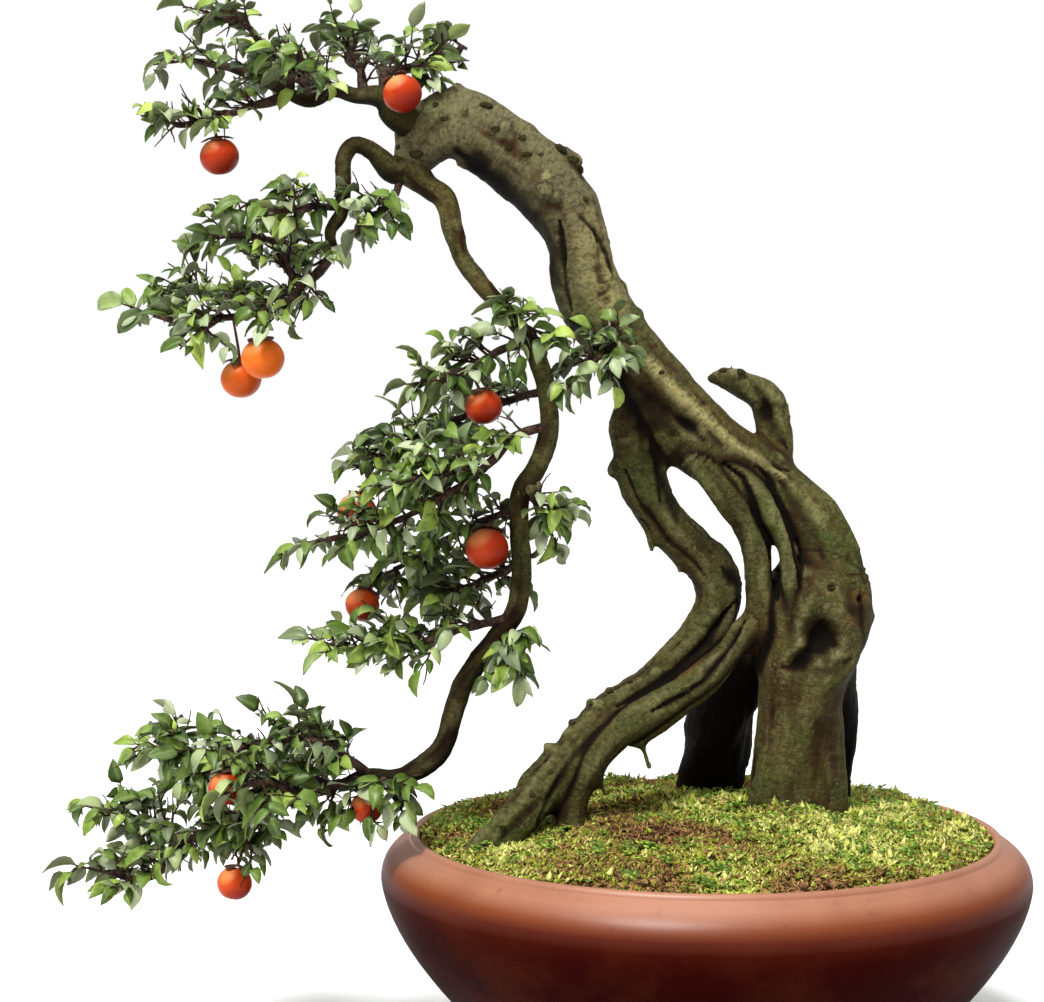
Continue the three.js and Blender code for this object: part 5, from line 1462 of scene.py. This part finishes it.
def bent_leaf(shape, length):
    """One leaf along +Y, upper side towards +Z, folded along its rib, arched and twisted."""
    flat_leaf, _, over, _ = shape
    fold, curl, twist = (chance.uniform(*limits) for limits in (LEAF_FOLD, LEAF_CURL, LEAF_TWIST))
    broad = chance.uniform(*LEAF_BREADTH)
    across, along, up = flat_leaf.T
    across = across * broad
    wave = LEAF_WAVE * np.sin(LEAF_WAVES * along + chance.uniform(0, 6)) * np.abs(over)
    up = up + fold * np.abs(across) + wave
    turn = chance.normal(0, LEAF_ROLL) + twist * along
    across, up = across * np.cos(turn) - up * np.sin(turn), across * np.sin(turn) + up * np.cos(turn)
    bend = curl * along
    return np.column_stack([
        across, np.sin(bend) / curl + up * np.sin(bend), (np.cos(bend) - 1) / curl + up * np.cos(bend),
    ]) * length


def spray_frame(spray, bough, slot):
    """The droop of a spray and its axes across, along and out of its face."""
    towards = -1 if draw((0, 1), bough, slot, "facing") < 0.7 else 1
    tilt = draw(SPRAY_TILT, bough, slot, "tilt")
    sway = draw(SPRAY_SWAY, bough, slot, "sway")
    heading = spray["heading"]
    lean = Vector((sway, towards * tilt, 1))
    face = unit(lean - heading * lean.dot(heading))
    droop = draw(SPRAY_DROOP, bough, slot, "droop")
    return droop, np.array([heading.cross(face), heading, face])


def arch(x, y, stem, droop, slot):
    """How far the face of a spray is bent at a place on it, in metres."""
    x, y, stem = x / MM, y / MM, stem / MM
    beyond = np.clip(y - stem, 0, None)
    fall = -droop * (x**2 / 24 + beyond**2 / 32) + 0.08 * np.abs(x) * np.sin(0.3 * y + slot)
    return fall * MM


def leaf_on(spray, axes, droop, slot, start, spread, length):
    """The points of one leaf laid on a spray. Spread is its angle from the stem, to the right if positive."""
    across, along, up = bent_leaf(FULL_LEAF, length).T
    way = (math.sin(spread), math.cos(spread))
    x = start[0] + along * way[0] + across * way[1]
    y = start[1] + along * way[1] - across * way[0]
    local = np.column_stack([x, y, up + arch(x, y, spray["stem"], droop, slot)])
    return np.array(spray["base"]) + local @ axes


def leaf_at(base, heading, length):
    """The points of one free leaf that starts at a base and heads somewhere, with its face mostly up."""
    lean = Vector((chance.normal(-0.1, 0.5), chance.normal(-0.45, 0.55), 1.0))
    face = unit(lean - heading * lean.dot(heading))
    axes = np.array([heading.cross(face), heading, face])
    return np.array(base) + bent_leaf(SMALL_LEAF, length) @ axes


def leaves_of(spray, bough, count):
    """Where each leaf of a spray starts, its spread and its length, by the solid's own rule."""
    laid = []
    for leaf in range(count):
        key = spray["slot"] * 10 + leaf
        length = draw(LEAF_LENGTH, bough, key, "length") * MM * SOLID_LEAF_SHARE
        if leaf == 0:
            laid.append(((0, spray["stem"] - 0.001), 0.0, length))
            continue
        side = -1 if leaf % 2 == 0 else 1
        play = draw(LEAF_PLAY, bough, key, "spread")
        spread = side * math.radians(LEAF_SPREAD + SPREAD_STEP * leaf + play)
        height = spray["stem"] - FIRST_PAIR - PAIR_STEP * (leaf - 1)
        laid.append(((side * 0.0008, height), spread, length))
    return laid


# %% [markdown]
# ### Leaf
# The upper side is a glossy mid green with paler ribs and a few brighter young leaves, and some leaves
# carry a painted whitish sheen. The under side is matt and greyer. A stored tint makes every leaf its own
# shade.

# %% Leaf and twig finishes
leaf_finish = Finish("leaf_green", roughness=0.36, specular=0.32)
leaf_whole = leaf_finish.place_of()
leaf_shade = leaf_finish.ramp(leaf_finish.value_of("tint"), [
    (0.0, (0.018, 0.036, 0.006)), (0.30, (0.056, 0.104, 0.014)), (0.55, (0.128, 0.210, 0.030)),
    (0.78, (0.260, 0.370, 0.055)), (1.0, (0.460, 0.580, 0.110)),
])
leaf_mottled = leaf_finish.patches(leaf_whole, 150, (0.030, 0.056, 0.011), leaf_shade, 0.22, 0.50)
leaf_finish.paint(leaf_finish.layered(leaf_mottled, [
    ("sheen", (0.50, 0.56, 0.36), 0.5, 1.1),  # painted sheen
    ("rib", (0.260, 0.340, 0.100), 0.6, 1.6),
    ("under", (0.110, 0.130, 0.060), 0.0, 1.4),
]))
leaf_finish.grain(leaf_whole, 260, 900, 0.35, 0.0005)
leaf_finish.roughen(leaf_whole, 160, 0.24, 0.48)

twig_finish = Finish("twig_bark", roughness=0.65, specular=0.1)
twig_whole = twig_finish.place_of()
twig_tones = twig_finish.layered((0.020, 0.010, 0.007), [
    ((twig_whole, 110), (0.090, 0.050, 0.036), 0.35, 0.65),
    ((twig_whole, 420), (0.150, 0.115, 0.090), 0.58, 0.78),
])
twig_split = twig_finish.cracks(twig_whole, 300, 0.03, 0.0006)
twig_finish.paint(twig_finish.tinted(twig_split, twig_tones, (0.012, 0.008, 0.006)))
twig_finish.grain(twig_whole, 500, 1300, 0.5, 0.0009)


# %% Boughs
TWIG_WAVES, BOUGH_SWAY, STEM_SWAY, SHOOT_SWAY, FORK_SWAY = 75, 0.0011, 0.0012, 0.0022, 0.0014
POT_CLEAR_RADIUS, POT_CLEAR_HEIGHT, FRUIT_CLEAR = 0.2, 0.142, 0.98


def add_twig(pile, points, thick, thin, sides):
    """Adds a twig that thins out along the points."""
    pile.add(*tube_arrays(points, np.linspace(thick, thin, len(points)), sides))


def crooked(start, end, bow, count, seed):
    """Points of a short bent twig."""
    t = np.linspace(0, 1, count)[:, None]
    start, end = np.array(start), np.array(end)
    line = start + (end - start) * t
    return line + sway_of(line + seed, 1, TWIG_WAVES) * bow * np.sin(math.pi * t)


FRUIT_KEEP_OUT = [(place(x, z, depth), radius * MM) for x, z, depth, radius in FRUITS]


def is_free(points):
    """True where a leaf stays out of the pot and of the fruits."""
    over_pot = np.hypot(points[:, 0], points[:, 1]) < POT_CLEAR_RADIUS
    if (over_pot & (points[:, 2] < POT_CLEAR_HEIGHT)).any():
        return False
    return all(
        np.linalg.norm(points - np.array(centre), axis=1).min() > radius * FRUIT_CLEAR
        for centre, radius in FRUIT_KEEP_OUT
    )


def shoot_heading(stations, share, lean):
    """The direction of a fine shoot that leaves a bough at a share of it."""
    along = tangent_at(stations, share)
    turn = chance.uniform(-2.5, 2.5)
    return unit(along * math.cos(lean) + outward_at(along, turn) * math.sin(lean) + Vector((0, 0, 0.12)))


def grow_shoot(twigs, leaves, base, heading, length, leaf_count):
    """A fine crooked shoot with leaves on both sides, and sometimes a bare fork."""
    tip = base + heading * length
    route = crooked(base, tip, SHOOT_SWAY, 7, chance.uniform(0, 50))
    add_twig(twigs, route, 0.0010, 0.0004, 5)
    for knee in (Vector(route[step]) for step in (2, 4) if chance.uniform() < 0.5):
        fork = unit(heading + Vector(chance.normal(0, 0.8, 3)))
        end = knee + fork * length * chance.uniform(0.4, 0.8)
        add_twig(twigs, crooked(knee, end, FORK_SWAY, 5, chance.uniform(0, 9)), 0.0006, 0.0003, 4)
    for leaf in range(leaf_count):
        start = Vector(route[max(1, 6 - leaf)])
        side = unit(heading.cross(Vector((0, 0, 1)))) * (1 if leaf % 2 else -1)
        drop = Vector((0, 0, chance.uniform(-0.55, 0.25)))
        way = unit(heading * chance.uniform(0.3, 1.0) + side * (0.15 if leaf == 0 else 0.9) + drop)
        leaves.append((SMALL_LEAF, leaf_at(start, way, chance.uniform(*SHOOT_LEAF))))


SHOOT_LEAF, SHOOT_LENGTH, SHORT_SHOOT = (0.0085, 0.0180), (0.008, 0.028), (0.005, 0.011)
LEAF_SPACING, TWIG_RADIUS = 0.0065, 0.0008
SHOOT_SPACING = {"crown": 0.0046, "shoulder": 0.0046, "middle": 0.0038, "lowest": 0.0034}
BARE_SHARE = {"crown": 0.48, "shoulder": 0.25, "middle": 0.04, "lowest": 0.04}


def grow_bough(name, stations, bough):
    """The twigs and the leaves of one bough."""
    sprays = solid_sprays(stations, bough, tree_of(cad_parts["leafy_bough_" + name].data))
    twigs, laid = Pile(), []
    shares = even_shares(stations, 0.003, wood_share(stations))
    centres = points_along(stations, shares)
    sway = sway_of(centres, 7, TWIG_WAVES)
    sway *= (BOUGH_SWAY * np.sin(math.pi * np.linspace(0, 1, len(centres))) ** 0.5)[:, None]
    radii = radii_along(stations, shares) * (0.92 + 0.22 * cloud(centres, 130, 2))
    twigs.add(*tube_arrays(centres + sway, np.maximum(radii, TWIG_RADIUS), 8))
    for spray in sprays:
        slot = spray["slot"]
        droop, axes = spray_frame(spray, bough, slot)
        tip = spray["base"] + spray["heading"] * spray["stem"]
        add_twig(twigs, crooked(spray["base"], tip, STEM_SWAY, 7, bough + slot), 0.0011, 0.0005, 5)
        for start, spread, length in leaves_of(spray, bough, 4 if slot == 0 else 3):
            laid.append((FULL_LEAF, leaf_on(spray, axes, droop, slot, start, spread, length)))
        for share in (0.35, 0.8):
            base = spray["base"] + spray["heading"] * spray["stem"] * share
            heading = unit(spray["heading"] + Vector(chance.normal(0, 0.6, 3)))
            grow_shoot(twigs, laid, base, heading, chance.uniform(*SHORT_SHOOT), 3)
    tier = name.split("_")[0]
    for _ in range(round(route_length(stations) / SHOOT_SPACING[tier])):
        share = chance.uniform(0.12, 0.97)
        base = Vector(points_along(stations, [share * wood_share(stations)])[0])
        heading = shoot_heading(stations, share, chance.uniform(0.6, 1.3))
        length = chance.uniform(*SHOOT_LENGTH)
        grow_shoot(twigs, laid, base, heading, length, 1 + round(length / LEAF_SPACING))
    leaves = Pile()
    mood = chance.uniform(-0.08, 0.12)
    for (_, leaf_faces, over, upper), points in laid:
        if is_free(points) and chance.uniform() > BARE_SHARE[tier]:
            tint = np.clip(mood + chance.beta(1.8, 2.2), 0, 1)
            leaves.add(points, leaf_faces, tint, chance.uniform() ** 1.4, fading(over, 0.3), 1 - upper)
    twig_piece = twigs.finish("twigs_" + name, twig_finish)
    leaf_piece = leaves.finish("leaves_" + name, leaf_finish, ["tint", "sheen", "rib", "under"])
    return twig_piece, leaf_piece, len(leaves.points)


leaf_total = 0
for bough, (name, stations) in enumerate(BOUGHS.items()):
    twig_piece, leaf_piece, leaf_count = grow_bough(name, stations, bough)
    dress(twig_piece, "bark", "leafy_bough_" + name)
    dress(leaf_piece, "leaf", "leafy_bough_" + name)
    leaf_total += leaf_count
print("leaves:", leaf_total)

# %% [markdown]
# ## Fruits and calyxes
# The fruits are small round persimmons, orange, with a painted highlight on the side towards the light and
# painted shade, deep red, on the lower side away from it. Two fruits are paler all over. Each hangs from a
# dry four-lobed calyx on a thin stalk. A sphere is pressed a little flat, dimpled at its top and faintly
# lobed; the calyx is cut from a disc and curled.

# %% Fruit finish
fruit_finish = Finish("fruit_skin", roughness=0.34, specular=0.14)
fruit_whole = fruit_finish.place_of()
fruit_finish.paint(fruit_finish.layered((0.38, 0.020, 0.004), [
    ((fruit_whole, 45), (0.54, 0.056, 0.007), 0.35, 0.65),
    ("pale", (0.80, 0.150, 0.012), 0.0, 1.0),
    # low is painted shade on the lower side, high a painted highlight towards the light.
    ("low", (0.15, 0.003, 0.001), 0.0, 0.9),
    ("high", (0.84, 0.33, 0.110), 0.70, 1.15),
    ((fruit_whole, 700), (0.40, 0.05, 0.01), 0.64, 0.8),  # rust specks
]))
fruit_finish.grain(fruit_whole, 120, 900, 0.4, 0.0004)

calyx_finish = two_tone(
    "calyx_brown", 0.6, 0.15, 220, (0.040, 0.015, 0.009), (0.13, 0.065, 0.030), (500, 1400, 0.4, 0.0008),
)


# %% Fruits
def nearest_bough_point(centre, radius):
    """The place on a bough above the fruit where its stalk hangs."""
    best = None
    for stations in BOUGHS.values():
        shares = wood_share(stations) * np.arange(8, 101) / 100
        points = points_along(stations, shares)
        points = points[points[:, 2] > centre.z + radius / 2]
        if not len(points):
            continue
        apart = np.linalg.norm(points - np.array(centre), axis=1)
        if best is None or apart.min() < best[0]:
            best = (apart.min(), Vector(points[apart.argmin()]))
    return best[1]


PALE_FRUITS = {3: 1.0, 4: 0.7}
FRUIT_LIT, FRUIT_SHADED = (-0.45, -0.55, 0.7), (0.50, 0, -0.75)
FRUIT_FLATNESS, FRUIT_LOBES, TOP_DIMPLE, LOW_DIMPLE, DIMPLE_WIDTH = 0.95, 0.012, 0.09, 0.03, 0.3


def make_fruit(number, centre, radius, axis):
    """One fruit round its centre, with its top towards the axis."""
    fruit = start_from(bpy.ops.mesh.primitive_uv_sphere_add, segments=36, ring_count=22, radius=radius)
    fruit.name = f"persimmon_{number:02d}"
    points = vectors_of(fruit.data) / radius
    turn = np.arctan2(points[:, 1], points[:, 0])
    reach = np.hypot(points[:, 0], points[:, 1])
    lobes = 1 + FRUIT_LOBES * np.cos(4 * turn + number) * reach
    dimple = np.where(points[:, 2] > 0, TOP_DIMPLE, LOW_DIMPLE) * fading(reach, DIMPLE_WIDTH)
    points[:, :2] *= lobes[:, None]
    points[:, 2] *= FRUIT_FLATNESS - dimple
    hung = points @ facing(axis)
    fruit.data.vertices.foreach_set("co", (hung * radius + np.array(centre)).ravel())
    # Painted highlight on the side that faces the light, and painted shade on the lower side away from it.
    store(fruit, "high", np.clip(hung @ np.array(unit(FRUIT_LIT)), 0, 1))
    pale_share = PALE_FRUITS.get(number, 0.05)
    low = np.clip(hung @ np.array(FRUIT_SHADED) + 0.12, 0, 1)
    store(fruit, "low", low * (1 - 0.7 * pale_share))
    store(fruit, "pale", np.full(len(points), pale_share))
    fruit.data.shade_smooth()
    recoat(fruit, fruit_finish)
    return fruit


CALYX_RINGS, CALYX_TURNS, CALYX_LAYERS, CALYX_SEAT = 7, 48, (0.0010, 0.0004), 0.97
CALYX_WAIST, CALYX_LOBE, CALYX_CURL = 0.0034, 0.0056, 0.0016
STALK_ROWS, STALK_SIDES, STALK_TAPER = 9, 8, (0.0010, 0.0007)


def make_calyx(number, centre, radius, axis, hang):
    """A curled four-lobed calyx over the top of the fruit, with its stalk."""
    pile = Pile()
    rings, turns = CALYX_RINGS, CALYX_TURNS
    share = np.linspace(0.08, 1, rings)
    angle = np.linspace(0, 2 * math.pi, turns, endpoint=False)
    lobe = np.abs(np.cos(2 * angle)) ** 0.8
    reach = (CALYX_WAIST + CALYX_LOBE * lobe) * (1 + 0.05 * np.sin(9 * angle + number))
    distance = share[:, None] * reach[None]
    curl = CALYX_CURL * share[:, None] ** 3 * lobe[None]
    around, seat = distance / radius, radius * CALYX_SEAT
    layers = []
    for lift in CALYX_LAYERS:
        height = seat + lift + curl
        out, up = np.sin(around) * height, np.cos(around) * height
        layers.append(np.stack([out * np.cos(angle), out * np.sin(angle), up], axis=2).reshape(-1, 3))
    points = np.vstack(layers + [[[0, 0, seat + 0.0011]], [[0, 0, seat + 0.0003]]])
    size = rings * turns
    top, bottom = 2 * size, 2 * size + 1
    faces = []
    for i in range(turns):
        j = (i + 1) % turns
        faces.append((top, i, j))
        faces.append((bottom, size + j, size + i))
        for ring in range(rings - 1):
            a, b = ring * turns, (ring + 1) * turns
            faces.append((a + i, b + i, b + j, a + j))
            faces.append((size + a + i, size + a + j, size + b + j, size + b + i))
        edge = (rings - 1) * turns
        faces.append((edge + i, size + edge + i, size + edge + j, edge + j))
    pile.add(points @ facing(axis) + np.array(centre), faces)
    root = centre + axis * radius * 0.95
    bend = root + axis * (hang - root).length * 0.3
    stalk = bent_route(root, bend, hang, STALK_ROWS)
    pile.add(*tube_arrays(stalk, np.linspace(*STALK_TAPER, STALK_ROWS), STALK_SIDES))
    return pile.finish(f"fruit_calyx_{number:02d}", calyx_finish)


for number, (x, z, depth, size) in enumerate(FRUITS, 1):
    centre, radius = place(x, z, depth), size * MM
    hang = nearest_bough_point(centre, radius)
    axis = unit(unit(hang - centre) + Vector((0, 0, 0.7)))
    dress(make_fruit(number, centre, radius, axis), "fruit", f"fruit_{number:02d}")
    dress(make_calyx(number, centre, radius, axis, hang), "calyx", f"calyx_{number:02d}")

# %% [markdown]
# ## Soil and moss
# The soil stays as the solid has it. Moss grows over it in cushions, bright where it is fresh and brown
# where it has dried, with tiny leaves and fallen stems between. The cushions are one displaced sheet, and
# thousands of copied tufts, leaflets and stems break its surface.

# %% Mound, cushions and finishes
MOSS_RINGS, MOSS_TURNS, MOSS_EDGE, MOSS_FOOT = 90, 260, 0.1706, 0.1295
# The mound's sizes in millimetres.
MOUND_RADIUS, MOUND_FOOT, MOUND_RISE = 178, 132, 19
SWELL, SWELL_LENGTH, RIPPLE, RIPPLE_LENGTH = 2.2, 29, 1.3, 17
CUSHION, CUSHION_SWELL, CUSHION_GRAIN, LEAST_COVER = 0.0030, 0.0026, 0.0010, 0.0004


def mound_height(x, y):
    """The height of the soil's mound in metres, by the solid's own rule."""
    x, y = x / MM, y / MM
    share = np.minimum(np.hypot(x, y) / MOUND_RADIUS, 1)
    swell = SWELL * np.sin(x / SWELL_LENGTH) * np.cos(y / SWELL_LENGTH)
    ripple = RIPPLE * np.sin((x + y) / RIPPLE_LENGTH)
    mound = MOUND_RISE * (1 - share**2) ** 0.8
    return (MOUND_FOOT + mound + (swell + ripple) * (1 - share**4)) * MM


def cushion_height(x, y):
    """How far the moss cushions stand over the mound, in metres, down to nothing at the pot's wall."""
    flat = np.column_stack([x, y, 0 * x])
    swell = CUSHION_SWELL * np.clip(cloud(flat, 40, 3), -0.8, 1)
    cushions = CUSHION + swell + CUSHION_GRAIN * cloud(flat, 240, 2)
    return np.maximum(cushions * np.clip((1 - np.hypot(x, y) / MOSS_EDGE) / 0.05, 0, 1), LEAST_COVER)


def fresh_share(points):
    """How fresh the moss is at each place: bright patches in dry ones, dry at the front left."""
    soft = cloud(points * (1, 1, 0), 26, 3)
    side = (points[:, 0] + 0.04) / 0.2 + (points[:, 1] + 0.05) / 0.6
    return np.clip(0.60 + 0.50 * soft + 0.20 * side, 0.06, 1)


soil_finish = two_tone(
    "dark_soil", 0.9, 0.08, 150, (0.030, 0.020, 0.012), (0.110, 0.075, 0.040), (300, 900, 0.5, 0.003),
)
recoat(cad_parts["soil"], soil_finish)

MOSS_COLOURS = [
    (0.0, (0.050, 0.020, 0.009)), (0.18, (0.270, 0.120, 0.060)), (0.34, (0.400, 0.260, 0.085)),
    (0.50, (0.230, 0.250, 0.022)), (0.72, (0.420, 0.500, 0.045)), (1.0, (0.800, 0.800, 0.240)),
]
moss_finish = Finish("moss", roughness=0.8, specular=0.08)
moss_whole = moss_finish.place_of()
moss_shade = moss_finish.ramp(moss_finish.value_of("fresh"), MOSS_COLOURS)
moss_finish.paint(moss_finish.patches(moss_whole, 330, (0.100, 0.075, 0.020), moss_shade, 0.24, 0.54))
moss_finish.grain(moss_whole, 500, 1400, 0.5, 0.002)

weed_finish = two_tone("weed_green", 0.5, 0.15, 130, (0.16, 0.34, 0.030), (0.50, 0.72, 0.12))
straw_finish = two_tone("dry_stems", 0.8, 0.1, 200, (0.170, 0.050, 0.022), (0.640, 0.380, 0.150))

# %% Moss cover
share = np.linspace(0, 1, MOSS_RINGS + 1)[1:] ** 0.8
angle = np.linspace(0, 2 * math.pi, MOSS_TURNS, endpoint=False)
flat_x = (share[:, None] * np.cos(angle) * MOSS_EDGE).ravel()
flat_y = (share[:, None] * np.sin(angle) * MOSS_EDGE).ravel()
top_z = mound_height(flat_x, flat_y) + cushion_height(flat_x, flat_y)
count = len(flat_x)
points = np.vstack([
    np.column_stack([flat_x, flat_y, top_z]),
    np.column_stack([flat_x[-MOSS_TURNS:], flat_y[-MOSS_TURNS:], np.full(MOSS_TURNS, MOSS_FOOT)]),
    [[0, 0, mound_height(0.0, 0.0) + 0.003], [0, 0, MOSS_FOOT]],
])
faces = []
for i in range(MOSS_TURNS):
    j = (i + 1) % MOSS_TURNS
    faces.append((count + MOSS_TURNS, i, j))
    faces.append((count + MOSS_TURNS + 1, count + j, count + i))
    last = count - MOSS_TURNS
    faces.append((last + i, count + i, count + j, last + j))
    for ring in range(MOSS_RINGS - 1):
        a, b = ring * MOSS_TURNS, (ring + 1) * MOSS_TURNS
        faces.append((a + i, b + i, b + j, a + j))
moss_cover = piece_from("moss_cover", points, faces, moss_finish)
cover_shade = 0.05 + fresh_share(points) * 0.7 + 0.20 * cloud(points, 300, 2)
store(moss_cover, "fresh", np.clip(cover_shade * 0.9, 0.02, 0.6))
dress(moss_cover, "soil")

# %% Tufts, weeds and stems
TUFT_COUNT, TUFT_BLADES, WEED_COUNT, STEM_COUNT = 12000, 4, 1300, 6500
TUFT_SIZE, WEED_SIZE = (0.0022, 0.0046), (0.0022, 0.0050)
WEED_HEIGHT, STEM_LENGTH = (0.002, 0.006), (0.003, 0.008)
SCATTER_SHARE, SCATTER_SINK, WOOD_CLEARANCE = 0.99, 0.0008, 0.0015


def scatter(count):
    """Seeded places over the mound, away from the trunk's feet."""
    places = []
    while len(places) < count:
        radius = MOSS_EDGE * SCATTER_SHARE * math.sqrt(chance.uniform())
        turn = chance.uniform(0, 2 * math.pi)
        x, y = radius * math.cos(turn), radius * math.sin(turn)
        if skin_clear(x, y):
            places.append((x, y, float(mound_height(x, y))))
    places = np.array(places)
    places[:, 2] += cushion_height(places[:, 0], places[:, 1]) - SCATTER_SINK
    return places


def skin_clear(x, y):
    """True where no wood stands at this place of the mound."""
    point = Vector((x, y, float(mound_height(x, y)) + 0.003))
    nearest, normal, _, apart = wood_tree.find_nearest(point)
    return apart > WOOD_CLEARANCE and (point - nearest).dot(normal) > 0


blade_shape = np.array([[-0.34, 0.05, 0], [0.34, 0.05, 0], [0, 1.0, 0], [0, 0.40, 0.22]])
blade_faces = [(0, 2, 1), (0, 1, 3), (1, 2, 3), (2, 0, 3)]
leaflet = np.array([
    [0, 0, 0], [0.42, 0.5, 0.10], [0.30, 0.95, 0.05], [0, 1.0, 0], [-0.30, 0.95, 0.05], [-0.42, 0.5, 0.10],
    [0, 0.5, -0.10],
])
leaflet_faces = [(0, 1, 2, 3), (0, 3, 4, 5), (0, 6, 1), (1, 6, 2), (2, 6, 3), (3, 6, 4), (4, 6, 5), (5, 6, 0)]
tufts = Pile()
for x, y, z in scatter(TUFT_COUNT):
    fresh = float(fresh_share(np.array([[x, y, 0]]))[0])
    size = chance.uniform(*TUFT_SIZE) * (0.8 + 0.4 * fresh) * (1.7 if chance.uniform() < 0.06 else 1)
    for blade in range(TUFT_BLADES):
        way = chance.uniform(0, 2 * math.pi)
        shape = blade_shape * (size * chance.uniform(0.8, 1.6), size, size)
        shape = turned(turned(shape, chance.uniform(0.2, 1.4), "X"), way, "Z")
        spot = np.array([x, y, z]) + (*chance.normal(0, size * 0.3, 2), chance.uniform(-0.001, 0.0010))
        tufts.add(shape + spot, blade_faces, np.clip(fresh + chance.normal(0.06, 0.27), 0, 1))
moss_tufts = tufts.finish("moss_tufts", moss_finish, ["fresh"])
dress(moss_tufts, "soil")

weeds = Pile()
for x, y, z in scatter(WEED_COUNT):
    if fresh_share(np.array([[x, y, 0]]))[0] < chance.uniform(0.2, 0.7):
        continue
    size, height = chance.uniform(*WEED_SIZE), chance.uniform(*WEED_HEIGHT)
    start = chance.uniform(0, 2 * math.pi)
    tip, way = chance.uniform(0, 0.7), chance.uniform(0, 2 * math.pi)
    lean_axis = Vector((math.cos(way), math.sin(way), 0))
    for third in range(3):
        shape = turned(turned(leaflet * size, start + third * 2.1, "Z"), tip, lean_axis)
        weeds.add(shape + (x, y, z + height), leaflet_faces)
small_weeds = weeds.finish("small_weeds", weed_finish)
dress(small_weeds, "soil")

stems = Pile()
for x, y, z in scatter(STEM_COUNT):
    length = chance.uniform(*STEM_LENGTH)
    way, rise = chance.uniform(0, 2 * math.pi), chance.uniform(-0.1, 0.5)
    t = np.linspace(-0.5, 0.5, 5)[:, None]
    route = np.array([x, y, z + 0.0012]) + t * length * np.array([[math.cos(way), math.sin(way), rise]])
    route[:, 2] += 0.002 * chance.uniform(-1, 1) * (1 - 4 * t[:, 0] ** 2)
    stems.add(*tube_arrays(route, np.full(5, chance.uniform(0.0002, 0.00042)), 3))
dry_stems = stems.finish("dry_stems", straw_finish)
dress(dry_stems, "soil")

# %% [markdown]
# ## Drain screens
# The three screens under the soil are stamped from dark plastic. They keep their solid shape and only get
# a finish.

# %% Screens
screen_finish = two_tone("screen_plastic", 0.55, 0.5, 150, (0.020, 0.020, 0.020), (0.035, 0.035, 0.035))
for i in range(1, DRAIN_COUNT + 1):
    recoat(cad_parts[f"drain_screen_{i}"], screen_finish)
